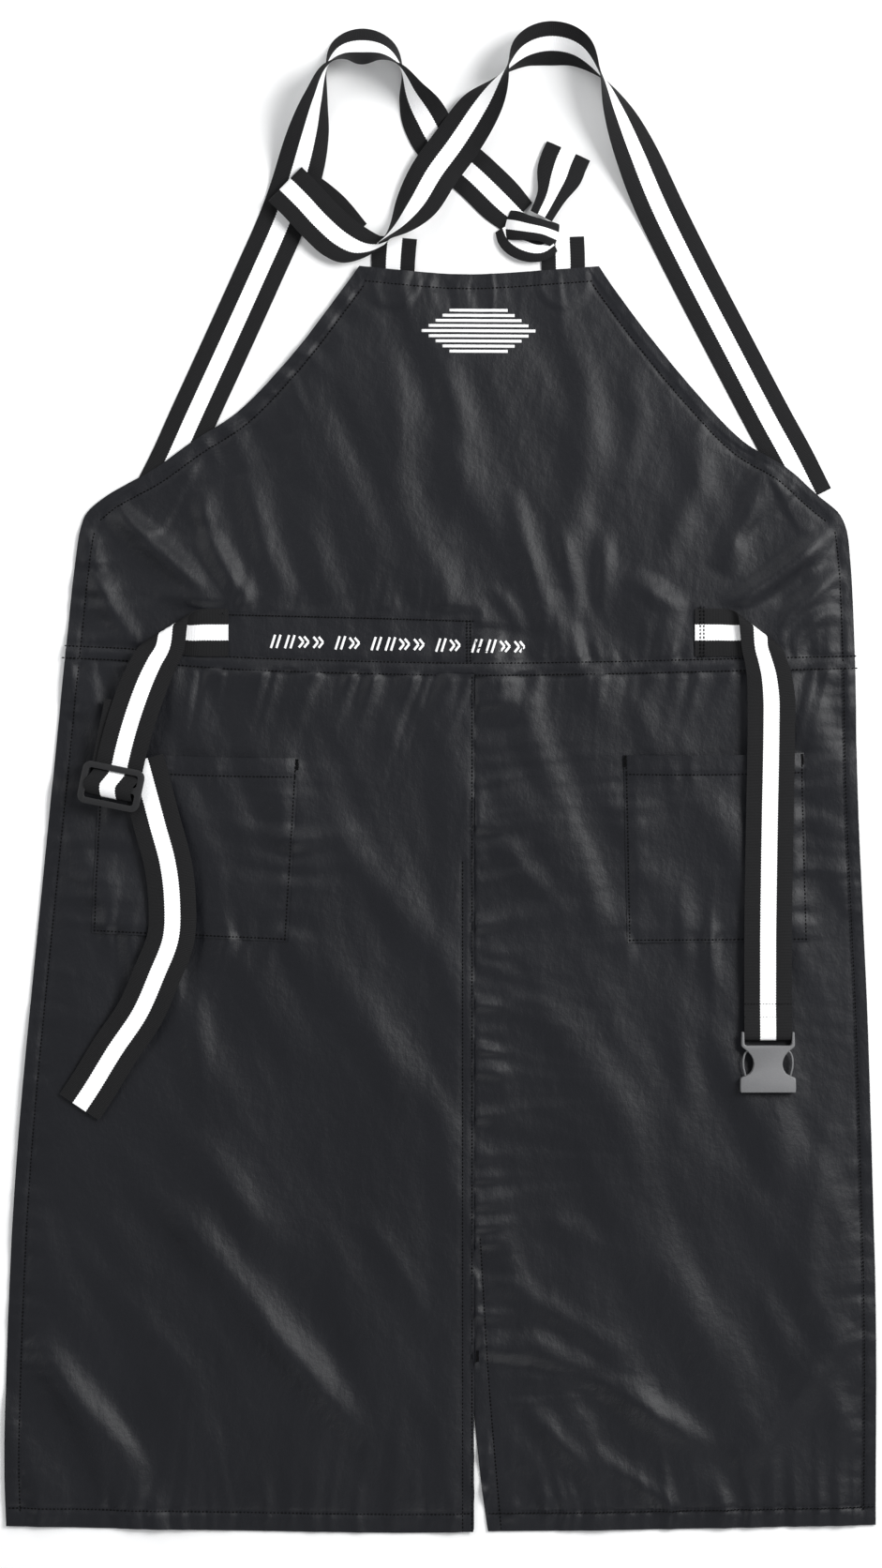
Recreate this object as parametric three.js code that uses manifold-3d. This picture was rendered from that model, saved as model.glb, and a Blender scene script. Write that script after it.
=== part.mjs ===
// Artist's smock apron, laid out flat with its front up, in millimetres.
// +Y points from the hem to the neck, +X to the right, +Z up from the surface that it lies on.
// The origin is the middle of the cloth's outline, on that surface.
// Layers from below: hems and tapes, the cloth panels, then patch, pockets, straps and buckles.
import * as THREE from 'three';
import { mergeVertices } from 'three/addons/utils/BufferGeometryUtils.js';
import Module from 'manifold-3d';

const wasm = await Module();
wasm.setup();

// Cloth outline
const skirtLength = 690; // hem to waist seam
const bandHeight = 61; // waist seam to the line that the bib folds on
const sideRise = 55; // fold line to the underarm corner
const armholeRise = 206; // underarm corner to the top of the bib
const hemWidth = 696;
const waistWidth = 633;
const underarmWidth = 610;
const bibTopWidth = 191;
const waistShift = 15.5; // the cloth lies a little askew: how far each width's middle is to the right
const underarmShift = 18;
const bibTopShift = 30;
const sideBulge = 6; // how far the skirt's side edges bow outwards
const bibTopDip = 6; // how far the bib's top edge dips in the middle
const armholeHollow = 27; // how far the armhole edge bows inwards
const seamEnds = 9.5; // how far the waist seam rises at its ends
const seamTilt = 4.5; // how much higher its left end is than its right

// Cloth, hems and tapes
const clothThickness = 1.2;
const hemThickness = 1.3;
const sideHemWidth = 12;
const bottomHemWidth = 14;
const edgeHemWidth = 13; // bib edges
const facingDrop = 21; // underarm corner to the end of the bib's side hem
const waistTapeWidth = 22;
const ventHemWidth = 11;
const gap = 0.3; // between pieces that touch
const hemInset = 0.6; // hems stop this far inside the cloth's edge
const foldGap = 0.5; // between the bib and the band below it, at the fold line

// Centre vent: the left panel laps over the right one
const ventX = 26.6; // edge of the left panel
const ventLap = 18;
const slitLength = 110; // the slit at the hem, where the edges part
const slitWidth = 12;

// Webbing
const webWidth = 38;
const webThickness = 1.3;
const seamTuck = 6; // how far webbing goes under a cloth edge
const tabWidth = 36;
const tabLength = 24;
const tabSlant = 2; // room for the curve of the top edge across a tab

// Pockets
const pocketWidth = 159;
const pocketHeight = 148;
const pocketTop = 66; // below the waist seam
const leftPocketX = -196; // middles
const rightPocketX = 220;
const pocketRoom = 5.6; // open height inside
const pocketCloth = 1;
const pocketSeam = 4;
const pocketHemWidth = 15;
const pocketHemThickness = 0.7;
const tackLength = 8;
const tackWidth = 2;
const tackThickness = 0.8;

// Waist patch and strap ends
const patchWidth = 202;
const patchHeight = 35;
const patchLift = 11; // above the waist seam
const patchThickness = 1;
const stubLength = 29;
const rightStubX = 208;
const strapPivotInset = 6; // from a stub's free end to the point that the strap swings on

// Slider, a three-bar buckle
const sliderWidth = 50;
const sliderHeight = 34;
const sliderThickness = 4;
const sliderBar = 5;
const sliderCorner = 6;
const sliderX = -262.9;
const sliderDrop = 93; // below the waist seam
const sliderTurn = THREE.MathUtils.degToRad(-11.5);
const returnLength = 52; // webbing that runs back up under the strap

// Side release buckle, socket half
const buckleX = 261;
const buckleDrop = 292; // its bar, below the waist seam
const buckleWidth = 44.6;
const buckleLength = 45; // bar to mouth
const buckleThickness = 10;
const buckleWall = 2.1;
const buckleWaist = 24.8; // width between the side notches
const buckleEar = 3.4;
const buckleShoulder = 7.5; // bar's middle to the body
const notchTop = 9; // below the bar's middle
const notchMiddle = 22.5;
const notchBottom = 32.3;
const cavityDepth = 31;
const barRadius = 2.25;
const barClearance = 0.35;
const loopTail = 27; // stitched doubled end of the webbing

// Chest print and knot
const printWidth = 93;
const printHeight = 38;
const printDrop = 32; // below the bib's top edge, to the print's top
const printThickness = 0.6;

// Levels
const panelFloor = hemThickness + gap;
const panelTop = panelFloor + clothThickness;
const onPanel = panelTop + gap;
const lappedFloor = panelTop + gap + hemThickness + gap;
const pocketSheet = panelTop + pocketRoom;
const strapFloor = pocketSheet + pocketCloth + 0.4; // straps pass over the pockets here
const strapStart = onPanel + webThickness + gap; // and over their own stubs here
const returnFloor = strapFloor + webThickness + 0.6;
const sliderFloor = returnFloor + webThickness + gap;
const barHeight = onPanel + buckleThickness / 2;

// Places
const bodyLength = skirtLength + bandHeight + sideRise + armholeRise;
const hemY = -bodyLength / 2;
const waistY = hemY + skirtLength;
const foldY = waistY + bandHeight;
const underarmY = foldY + sideRise;
const topY = underarmY + armholeRise;
const patchY = waistY + patchLift + patchHeight / 2;
const stubY = waistY + patchLift + webWidth / 2;
const patchX = ventX - patchWidth / 2;
const leftStubX = ventX - patchWidth - gap;
const leftPivotX = leftStubX - stubLength - strapPivotInset;
const rightPivotX = rightStubX + stubLength + strapPivotInset;
const buckleY = waistY - buckleDrop;
const sliderY = waistY - sliderDrop;

const group = new THREE.Group();
const lerp = THREE.MathUtils.lerp;

const finishes = {
  cloth: { color: 0x26272b, roughness: 0.55, metalness: 0 },
  lining: { color: 0x222327, roughness: 0.6, metalness: 0 },
  webbing: { color: 0x2a2a2c, roughness: 0.85, metalness: 0 },
  plastic: { color: 0x4a4b4d, roughness: 0.5, metalness: 0 },
  darkPlastic: { color: 0x2c2c2e, roughness: 0.45, metalness: 0 },
  print: { color: 0xf2f2f2, roughness: 0.7, metalness: 0 },
  thread: { color: 0x1b1b1d, roughness: 0.8, metalness: 0 },
};

function place(name, finish, geometry) {
  const mesh = new THREE.Mesh(geometry, new THREE.MeshStandardMaterial(finishes[finish]));
  mesh.name = name;
  group.add(mesh);
  return mesh;
}

// Closed solid between two surfaces, each a list of rows of points.
function between(lower, upper) {
  const rows = lower.length;
  const columns = lower[0].length;
  const positions = [...lower, ...upper].flat().flatMap((p) => [p.x, p.y, p.z]);
  const at = (layer, r, c) => (layer * rows + r) * columns + c;
  const faces = [];
  const quad = (a, b, c, d) => faces.push(a, b, c, a, c, d);
  for (let r = 0; r < rows - 1; r++) {
    for (let c = 0; c < columns - 1; c++) {
      quad(at(1, r, c), at(1, r, c + 1), at(1, r + 1, c + 1), at(1, r + 1, c));
      quad(at(0, r, c), at(0, r + 1, c), at(0, r + 1, c + 1), at(0, r, c + 1));
    }
    quad(at(0, r, 0), at(1, r, 0), at(1, r + 1, 0), at(0, r + 1, 0));
    const c = columns - 1;
    quad(at(0, r + 1, c), at(1, r + 1, c), at(1, r, c), at(0, r, c));
  }
  const r = rows - 1;
  for (let c = 0; c < columns - 1; c++) {
    quad(at(0, 0, c + 1), at(1, 0, c + 1), at(1, 0, c), at(0, 0, c));
    quad(at(0, r, c), at(1, r, c), at(1, r, c + 1), at(0, r, c + 1));
  }
  if (signedVolume(positions, faces) < 0) faces.reverse();
  const geometry = new THREE.BufferGeometry();
  geometry.setAttribute('position', new THREE.Float32BufferAttribute(positions, 3));
  geometry.setIndex(faces);
  return geometry;
}

function signedVolume(positions, faces) {
  const corner = (i) => new THREE.Vector3().fromArray(positions, 3 * i);
  let sum = 0;
  for (let i = 0; i < faces.length; i += 3) {
    const [a, b, c] = [corner(faces[i]), corner(faces[i + 1]), corner(faces[i + 2])];
    sum += a.dot(b.cross(c));
  }
  return sum / 6;
}

// Sheet of one thickness on a surface given by rows of points.
function sheet(lower, thickness) {
  return between(lower, lower.map((row) => row.map((p) => p.clone().setZ(p.z + thickness))));
}

// Upright prism on a plan outline, from one height to another.
function prism(outline, low, high) {
  const depth = high - low;
  const geometry = new THREE.ExtrudeGeometry(outline, { depth, bevelEnabled: false, curveSegments: 8 });
  return geometry.translate(0, 0, low);
}

function polygon(corners) {
  return new THREE.Shape(corners.map(([x, y]) => new THREE.Vector2(x, y)));
}

function rectangle(x, y, width, height) {
  return polygon([
    [x - width / 2, y - height / 2],
    [x + width / 2, y - height / 2],
    [x + width / 2, y + height / 2],
    [x - width / 2, y + height / 2],
  ]);
}

// Boolean work
function toSolid(geometry) {
  const bare = geometry.clone();
  bare.deleteAttribute('normal');
  bare.deleteAttribute('uv');
  const merged = mergeVertices(bare, 1e-3);
  return new wasm.Manifold(new wasm.Mesh({
    numProp: 3,
    vertProperties: merged.attributes.position.array,
    triVerts: new Uint32Array(merged.index.array),
  }));
}

function fromSolid(solid) {
  const mesh = solid.getMesh();
  const geometry = new THREE.BufferGeometry();
  geometry.setAttribute('position', new THREE.BufferAttribute(mesh.vertProperties, 3));
  geometry.setIndex(new THREE.BufferAttribute(mesh.triVerts, 1));
  return geometry;
}

// Side edges of the cloth. side is -1 on the left and 1 on the right.
function skirtEdge(side, y) {
  const share = (y - hemY) / skirtLength;
  const half = lerp(hemWidth, waistWidth, share) / 2 + sideBulge * Math.sin(Math.PI * share);
  return waistShift * share + side * half;
}

function upperEdge(side, y) {
  const share = (y - waistY) / (bandHeight + sideRise);
  return lerp(waistShift, underarmShift, share) + side * lerp(waistWidth, underarmWidth, share) / 2;
}

function waistLine(x) {
  const s = (2 * (x - waistShift)) / waistWidth;
  return waistY - 5 + seamEnds * s * s - seamTilt * s;
}

// The armhole edge from the underarm corner to the top of the bib.
function armhole(side, steps) {
  const from = new THREE.Vector2(upperEdge(side, underarmY), underarmY);
  const to = new THREE.Vector2(bibTopShift + side * bibTopWidth / 2, topY);
  const middle = from.clone().add(to).multiplyScalar(0.5);
  const inwards = new THREE.Vector2(-side * (to.y - from.y), -Math.abs(to.x - from.x)).normalize();
  const bend = middle.add(inwards.multiplyScalar(2 * armholeHollow));
  return new THREE.QuadraticBezierCurve(from, bend, to).getPoints(steps);
}

// Rows of a panel between a left and a right list of points.
function rowsBetween(left, right, columns, height) {
  return left.map((p, i) => Array.from({ length: columns + 1 }, (_, c) => {
    const at = p.clone().lerp(right[i], c / columns);
    return new THREE.Vector3(at.x, at.y, height);
  }));
}

// Flat strip along an edge, on the inner side of it.
function edgeStrip(edge, inset, width, thickness, floor = 0) {
  const rows = edge.map((p, i) => {
    const before = edge[Math.max(i - 1, 0)];
    const after = edge[Math.min(i + 1, edge.length - 1)];
    const along = after.clone().sub(before).normalize();
    const inwards = new THREE.Vector2(along.y, -along.x);
    return [inset, inset + width].map((reach) => {
      const q = p.clone().addScaledVector(inwards, reach);
      return new THREE.Vector3(q.x, q.y, floor);
    });
  });
  return sheet(rows, thickness);
}

function straight(from, to, steps = 1) {
  return Array.from({ length: steps + 1 }, (_, i) => from.clone().lerp(to, i / steps));
}

const vec = (x, y) => new THREE.Vector2(x, y);

// --- Skirt -------------------------------------------------------------------

// Left edge of the right panel: hidden under the left one until the slit opens near the hem.
function rightVentEdge(y) {
  const opening = THREE.MathUtils.clamp((hemY + 2 * slitLength - y) / (2 * slitLength), 0, 1);
  return ventX - ventLap + (ventLap + slitWidth) * opening * opening * (3 - 2 * opening);
}

function panelRows(side, rows, columns, heightAt) {
  return Array.from({ length: rows + 1 }, (_, r) => Array.from({ length: columns + 1 }, (_, c) => {
    const share = r / rows;
    const outerY = hemY + share * skirtLength;
    const outer = skirtEdge(side, outerY);
    const inner = side < 0 ? ventX : rightVentEdge(outerY);
    const x = side < 0 ? lerp(outer, inner, c / columns) : lerp(inner, outer, c / columns);
    const rise = (waistLine(x) - waistY - gap) * share;
    return new THREE.Vector3(x, outerY + rise, heightAt(x));
  }));
}

// The left panel climbs over the edge of the right one and its vent hem.
function leftPanelHeight(x) {
  const climbStart = ventX - ventLap - ventHemWidth - 18;
  const climbEnd = ventX - ventLap - 6;
  return lerp(panelFloor, lappedFloor, THREE.MathUtils.smoothstep(x, climbStart, climbEnd));
}

place('left_skirt_panel', 'cloth', sheet(panelRows(-1, 10, 24, leftPanelHeight), clothThickness));
place('right_skirt_panel', 'cloth', sheet(panelRows(1, 10, 6, () => panelFloor), clothThickness));

const tapeTop = (x) => waistLine(x) + waistTapeWidth / 2;
const tapeBottom = (x) => waistLine(x) - waistTapeWidth / 2;

function sideHem(side) {
  const slant = Math.abs(skirtEdge(side, hemY + 1) - skirtEdge(side, hemY));
  const foot = hemY + bottomHemWidth + hemInset + gap + slant * (sideHemWidth + hemInset) + gap;
  const head = tapeBottom(skirtEdge(side, waistY)) - gap - 2;
  const edge = Array.from({ length: 7 }, (_, i) => {
    const y = lerp(foot, head, i / 6);
    return vec(skirtEdge(side, y), y);
  });
  return side < 0 ? edge : edge.reverse();
}

place('left_side_hem', 'lining', edgeStrip(sideHem(-1), hemInset, sideHemWidth, hemThickness));
place('right_side_hem', 'lining', edgeStrip(sideHem(1), hemInset, sideHemWidth, hemThickness));

const hemLeft = skirtEdge(-1, hemY) + hemInset;
const hemRight = skirtEdge(1, hemY) - hemInset;
const hemLine = (from, to) => straight(vec(to, hemY), vec(from, hemY), 2);
place('left_bottom_hem', 'lining',
  edgeStrip(hemLine(hemLeft, ventX - hemInset), hemInset, bottomHemWidth, hemThickness));
place('right_bottom_hem', 'lining',
  edgeStrip(hemLine(ventX + slitWidth + hemInset, hemRight), hemInset, bottomHemWidth, hemThickness));

function ventHem(side) {
  const foot = hemY + bottomHemWidth + hemInset + gap;
  const head = tapeBottom(ventX) - gap - 1;
  const edge = Array.from({ length: 13 }, (_, i) => {
    const y = lerp(foot, head, i / 12);
    return vec(side < 0 ? ventX : rightVentEdge(y), y);
  });
  return side < 0 ? edge.reverse() : edge;
}

place('left_vent_hem', 'lining', edgeStrip(ventHem(-1), hemInset, ventHemWidth, hemThickness, onPanel));
place('right_vent_hem', 'lining', edgeStrip(ventHem(1), hemInset, ventHemWidth, hemThickness));

// Tape behind the waist seam
const tapeEnds = [upperEdge(-1, waistY) + 1, skirtEdge(1, waistY) - 1];
const tapeRows = [tapeBottom, tapeTop].map((line) => Array.from({ length: 13 }, (_, i) => {
  const x = lerp(tapeEnds[0], tapeEnds[1], i / 12);
  return new THREE.Vector3(x, line(x), 0);
}));
place('waist_seam_tape', 'lining', sheet(tapeRows, hemThickness));

const ventTackY = hemY + slitLength + 32;
place('vent_bar_tack', 'thread',
  prism(rectangle(ventX + tackWidth + gap, ventTackY, tackWidth, tackLength), onPanel, onPanel + tackThickness));

// --- Waist band, the part of the bib below the fold line ---------------------

function bandRows() {
  const columns = 12;
  return Array.from({ length: 3 }, (_, r) => Array.from({ length: columns + 1 }, (_, c) => {
    const share = r / 2;
    const level = lerp(waistY, foldY - foldGap / 2, share);
    const x = lerp(upperEdge(-1, level), upperEdge(1, level), c / columns);
    const y = lerp(waistLine(x) + gap, foldY - foldGap / 2, share);
    return new THREE.Vector3(x, y, panelFloor);
  }));
}
place('waist_band_panel', 'cloth', sheet(bandRows(), clothThickness));

function shortSideHem(side, low, high) {
  const edge = [vec(upperEdge(side, low), low), vec(upperEdge(side, high), high)];
  return side < 0 ? edge : edge.reverse();
}
for (const [side, label] of [[-1, 'left'], [1, 'right']]) {
  const low = tapeTop(upperEdge(side, waistY)) + 2;
  const band = shortSideHem(side, low, foldY - foldGap / 2 - gap);
  place(`${label}_band_hem`, 'lining', edgeStrip(band, hemInset, sideHemWidth, hemThickness));
}

place('waist_patch', 'cloth',
  prism(rectangle(patchX, patchY, patchWidth, patchHeight), onPanel, onPanel + patchThickness));
place('left_strap_stub', 'webbing',
  prism(rectangle(leftStubX - stubLength / 2, stubY, stubLength, webWidth), onPanel, onPanel + webThickness));
place('right_strap_stub', 'webbing',
  prism(rectangle(rightStubX + stubLength / 2, stubY, stubLength, webWidth), onPanel, onPanel + webThickness));
place('right_stub_tack', 'thread',
  prism(rectangle(rightStubX - gap - tackWidth / 2, stubY, tackWidth, webWidth), onPanel, onPanel + tackThickness));

// --- Pockets -----------------------------------------------------------------

function pocket(label, x) {
  const mouth = waistY - pocketTop;
  const middle = mouth - pocketHeight / 2;
  const outer = prism(rectangle(x, middle, pocketWidth, pocketHeight), onPanel, pocketSheet + pocketCloth);
  const innerWidth = pocketWidth - 2 * pocketSeam;
  const hollow = prism(rectangle(x, middle + pocketSeam, innerWidth, pocketHeight), 0, pocketSheet);
  place(`${label}_pocket`, 'cloth', fromSolid(toSolid(outer).subtract(toSolid(hollow))));

  const hemCentre = mouth - pocketHemWidth / 2;
  const hemSheet = rectangle(x, hemCentre, innerWidth - 2 * gap, pocketHemWidth);
  const hemTop = pocketSheet - gap;
  place(`${label}_pocket_hem`, 'lining', prism(hemSheet, hemTop - pocketHemThickness, hemTop));

  for (const [side, hand] of [[-1, 'left'], [1, 'right']]) {
    const tackX = x + side * (pocketWidth / 2 + gap + tackWidth / 2);
    const tack = rectangle(tackX, mouth - tackLength / 2, tackWidth, tackLength);
    place(`${label}_pocket_${hand}_tack`, 'thread', prism(tack, onPanel, onPanel + tackThickness));
  }
}
pocket('left', leftPocketX);
pocket('right', rightPocketX);

// --- Bib ---------------------------------------------------------------------

const armholeSteps = 8;
function bibSide(side) {
  const foot = vec(upperEdge(side, foldY + foldGap / 2), foldY + foldGap / 2);
  return [foot, ...armhole(side, armholeSteps)];
}
const bibRows = rowsBetween(bibSide(-1), bibSide(1), 8, panelFloor);
for (const row of bibRows) {
  const level = (row[0].y - foldY) / (topY - foldY);
  row.forEach((p, c) => { p.y -= bibTopDip * level * level * Math.sin((Math.PI * c) / (row.length - 1)); });
}
place('bib_panel', 'cloth', sheet(bibRows, clothThickness));

// Facings behind the armholes and the top, with room beside them for webbing under the cloth's edge.
for (const [side, label] of [[-1, 'left'], [1, 'right']]) {
  const hem = shortSideHem(side, foldY + foldGap / 2 + gap, underarmY - facingDrop);
  place(`${label}_bib_side_hem`, 'lining', edgeStrip(hem, hemInset, sideHemWidth, hemThickness));
  const edge = armhole(side, armholeSteps).slice(0, -1);
  const facing = side < 0 ? edge : edge.reverse();
  place(`${label}_armhole_facing`, 'lining',
    edgeStrip(facing, seamTuck + gap, edgeHemWidth, hemThickness));
}
const facingHalf = bibTopWidth / 2 - 4;
const facingY = (x) => topY - bibTopDip * Math.cos((Math.PI * (x - bibTopShift)) / bibTopWidth);
const neckEdge = Array.from({ length: 9 }, (_, i) => {
  const x = lerp(bibTopShift - facingHalf, bibTopShift + facingHalf, i / 8);
  return vec(x, facingY(x));
});
place('neck_facing', 'lining', edgeStrip(neckEdge, seamTuck + gap, edgeHemWidth, hemThickness));

const printTop = topY - printDrop;
place('chest_print', 'print',
  prism(rectangle(bibTopShift, printTop - printHeight / 2, printWidth, printHeight), onPanel, onPanel + printThickness));

// Folded webbing tabs sewn behind the top edge, which the neck straps pass through.
function tab(label, x) {
  const edgeY = facingY(x);
  const hidden = seamTuck - tabSlant;
  const tucked = prism(rectangle(x, edgeY, tabWidth, 2 * hidden), 0, webThickness);
  const loop = prism(rectangle(x, edgeY + tabSlant + tabLength / 2, tabWidth, tabLength), 0, 2 * webThickness + gap);
  place(label, 'webbing', fromSolid(toSolid(tucked).add(toSolid(loop))));
}
tab('left_tab_loop', bibTopShift - 68.6);
tab('right_tab_loop', bibTopShift + 67.9);

// --- Webbing -----------------------------------------------------------------

// Each point is [x, y, lift, roll, width share]: lift is the height of the lower edge, roll turns the
// webbing about its own line, in degrees, and the share, where given, is how far it is pinched.
function ribbon(points, steps, side = null) {
  const curve = new THREE.CatmullRomCurve3(points.map(([x, y, lift]) => new THREE.Vector3(x, y, lift)), false, 'centripetal');
  const lower = [];
  const upper = [];
  for (let i = 0; i <= steps; i++) {
    const t = i / steps;
    const position = curve.getPoint(t);
    const along = curve.getTangent(t);
    const k = Math.min(Math.floor(t * (points.length - 1)), points.length - 2);
    const share = THREE.MathUtils.smoothstep(t * (points.length - 1) - k, 0, 1);
    const roll = THREE.MathUtils.degToRad(lerp(points[k][3] ?? 0, points[k + 1][3] ?? 0, share));
    const half = (webWidth / 2) * lerp(points[k][4] ?? 1, points[k + 1][4] ?? 1, share);
    const across = side ? side.clone() : new THREE.Vector3(-along.y, along.x, 0).normalize();
    across.applyAxisAngle(along, roll);
    const out = new THREE.Vector3().crossVectors(across, along).normalize();
    if (!side) position.z += half * Math.abs(across.z) + (webThickness / 2) * Math.abs(out.z);
    const edges = [position.clone().addScaledVector(across, -half), position.clone().addScaledVector(across, half)];
    lower.push(edges.map((p) => p.clone().addScaledVector(out, -webThickness / 2)));
    upper.push(edges.map((p) => p.clone().addScaledVector(out, webThickness / 2)));
  }
  return between(lower, upper);
}

// The bib's plan, drawn in by the tuck, clears the room for facings under the cloth.
function bibInside(inset) {
  const left = armhole(-1, armholeSteps);
  const right = armhole(1, armholeSteps).reverse();
  const outline = new THREE.Shape([...left, ...right]);
  const middle = vec(bibTopShift, underarmY);
  const points = outline.getPoints().map((p) => p.clone().sub(middle));
  const shrunk = points.map((p, i) => {
    const before = points[(i + points.length - 1) % points.length];
    const after = points[(i + 1) % points.length];
    const along = after.clone().sub(before).normalize();
    return p.clone().addScaledVector(vec(along.y, -along.x), inset).add(middle);
  });
  return prism(new THREE.Shape(shrunk), -1, panelFloor + clothThickness / 2);
}
const sewnRoom = toSolid(bibInside(seamTuck));

function sewnUnderBib(geometry) {
  return fromSolid(toSolid(geometry).subtract(sewnRoom));
}

// A route's Y places count from the bib's top edge or from the waist seam.
function measuredFrom(level, route) {
  return route.map(([x, y, ...rest]) => [x, level + y, ...rest]);
}

// Left neck strap: from under the left armhole, up, over and down to the knot at the right tab.
const leftNeckRoute = [
  [-218, -164, 0], [-200, -124, 0], [-172, -63, 0], [-145, -3.5, 0], [-128, 35, 0, 0],
  [-115, 71, 0.2, 3], [-105.5, 106, 0.2, 32], [-99.4, 132, 0.2, 64], [-92, 157, 0.2, 92],
  [-79, 171.5, 0.2, 128], [-62, 175, 0.2, 146], [-45, 171.5, 0.2, 128], [-32, 158, 0.2, 92],
  [-22.5, 135, 0.2, 56], [-13, 118, 0.2, 9], [-3, 101, 0.2, 0], [29.6, 71, 0.2, 0], [48, 53, 0.2, 0], [66, 35, 0.2, 0, 0.8],
];
// Right neck strap: the same on the right, over the left one, and down to the left tab.
const rightNeckRoute = [
  [283, -163, 0], [262, -122, 0], [231, -63, 0], [200, -3.5, 0], [173.6, 49.8, 0, 4],
  [155, 92, 0.2, 24], [140.6, 124, 0.2, 50], [127, 151, 0.2, 84], [108, 172, 0.2, 128],
  [88, 178.5, 0.2, 146], [69, 172, 0.2, 128], [51, 154, 0.4, 84], [32, 127, 6.5, 28], [12, 98, 7, 4],
  [-4, 76, 6, 0], [-16, 50, 4, 0, 0.9], [-31, 26, 3.4, 0, 0.6],
];
// Its end passes the tab and turns back on itself in a loop.
const bowRoute = [
  [-46, 17, 3.4, 0, 0.4], [-62, 18, 3.4, 0, 0.8], [-82, 24, 4.2, 8], [-103, 39, 6, 26], [-120, 56, 8, 62],
  [-126, 71, 8.6, 90], [-117, 81, 8.6, 110], [-102, 74, 7.6, 98], [-86, 59, 5.6, 96], [-70, 41, 5.6, 90, 0.8],
];
place('left_neck_strap', 'webbing', sewnUnderBib(ribbon(measuredFrom(topY, leftNeckRoute), 70)));
place('right_neck_strap', 'webbing', sewnUnderBib(ribbon(measuredFrom(topY, rightNeckRoute), 70)));
place('neck_strap_bow', 'webbing', ribbon(measuredFrom(topY, bowRoute), 40));

// Knot of the left neck strap on the right tab, and the strap's end above it.
const knot = new THREE.SphereGeometry(1, 16, 10).scale(23, 17, 8);
knot.rotateZ(THREE.MathUtils.degToRad(-38));
place('neck_knot', 'webbing', knot.translate(74, topY + 33, 11.4));
const knotTailRoute = [[86, 47, 8, 0, 0.5], [92, 64, 4, 0, 0.9], [98, 80, 1.5, 0], [101, 92, 1, 0]];
place('knot_tail', 'webbing', ribbon(measuredFrom(topY, knotTailRoute), 12));

// Left waist strap, down to the slider
const sliderUp = vec(-Math.sin(sliderTurn), Math.cos(sliderTurn));
function aboveSlider(reach) {
  return [sliderX + sliderUp.x * reach, sliderY + sliderUp.y * reach];
}
const leftWaistRoute = [
  [leftPivotX + 4, stubY, strapStart, 0], [leftPivotX - 8, stubY - 4, strapStart, 0],
  [leftPivotX - 20, stubY - 16, strapStart + 1.5, 0], [-236, waistY - 5, strapStart + 7.4, 0],
  [...aboveSlider(returnLength + sliderHeight / 2 + 6), sliderFloor, 0],
  [...aboveSlider(sliderHeight / 2 + 30), sliderFloor, 0], [...aboveSlider(sliderHeight / 2 + gap), sliderFloor, 0],
];
place('left_waist_strap', 'webbing', ribbon(leftWaistRoute, 30));

// Slider: a frame with a middle bar, in its own upright frame of reference
function roundedRectangle(width, height, radius, x = 0, y = 0) {
  const shape = new THREE.Shape();
  const [w, h] = [width / 2, height / 2];
  shape.moveTo(x - w + radius, y - h);
  shape.lineTo(x + w - radius, y - h);
  shape.absarc(x + w - radius, y - h + radius, radius, -Math.PI / 2, 0);
  shape.lineTo(x + w, y + h - radius);
  shape.absarc(x + w - radius, y + h - radius, radius, 0, Math.PI / 2);
  shape.lineTo(x - w + radius, y + h);
  shape.absarc(x - w + radius, y + h - radius, radius, Math.PI / 2, Math.PI);
  shape.lineTo(x - w, y - h + radius);
  shape.absarc(x - w + radius, y - h + radius, radius, Math.PI, 1.5 * Math.PI);
  return shape;
}
const sliderSlot = (sliderHeight - 3 * sliderBar) / 2;
const sliderShape = roundedRectangle(sliderWidth, sliderHeight, sliderCorner);
for (const side of [-1, 1]) {
  const y = (side * (sliderSlot + sliderBar)) / 2;
  sliderShape.holes.push(roundedRectangle(sliderWidth - 2 * sliderBar, sliderSlot, 1.5, 0, y));
}
function onSlider(geometry) {
  return geometry.rotateZ(sliderTurn).translate(sliderX, sliderY, sliderFloor);
}
place('slider_frame', 'darkPlastic', onSlider(prism(sliderShape, 0, sliderThickness)));

// Webbing over the middle bar, down the lower slot and back up under the strap
const half = webThickness / 2;
const under = -gap - half;
const over = sliderThickness + gap + half;
const loopWidth = new THREE.Vector3(1, 0, 0);
const lowerSlot = -(sliderBar + sliderSlot) / 2 - 0.4;
const upperSlot = (sliderBar + sliderSlot) / 2;
const loopRoute = [
  [0, upperSlot + 1, 0.4], [0, upperSlot - 1, sliderThickness - 0.6], [0, sliderBar / 2 - 0.6, over], [0, 0, over],
  [0, -sliderBar / 2 + 0.6, over], [0, lowerSlot + 0.4, sliderThickness - 0.8], [0, lowerSlot - 0.2, 1],
  [0, lowerSlot + 1.4, under + 0.1], [0, 0, under], [0, sliderHeight / 2, under],
  [0, sliderHeight / 2 + returnLength, under],
];
place('slider_loop', 'webbing', onSlider(ribbon(loopRoute, 60, loopWidth)));

// Tail of the left waist strap
const tailRoute = [
  [-240, -72, strapFloor, 0], [-234, -94, strapFloor, 0], [-226, -124, strapFloor, 0],
  [-218, -154, strapFloor, 0], [-214.5, -184, strapFloor, 0], [-215.6, -214, strapFloor, 0], [-227, -244, strapFloor, 0],
  [-240.4, -274, onPanel + 2, 0], [-260.6, -304, onPanel, 0], [-279, -334, onPanel, 0], [-289, -349, onPanel, 0],
];
place('left_strap_tail', 'webbing', ribbon(measuredFrom(waistY, tailRoute), 40));

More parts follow.
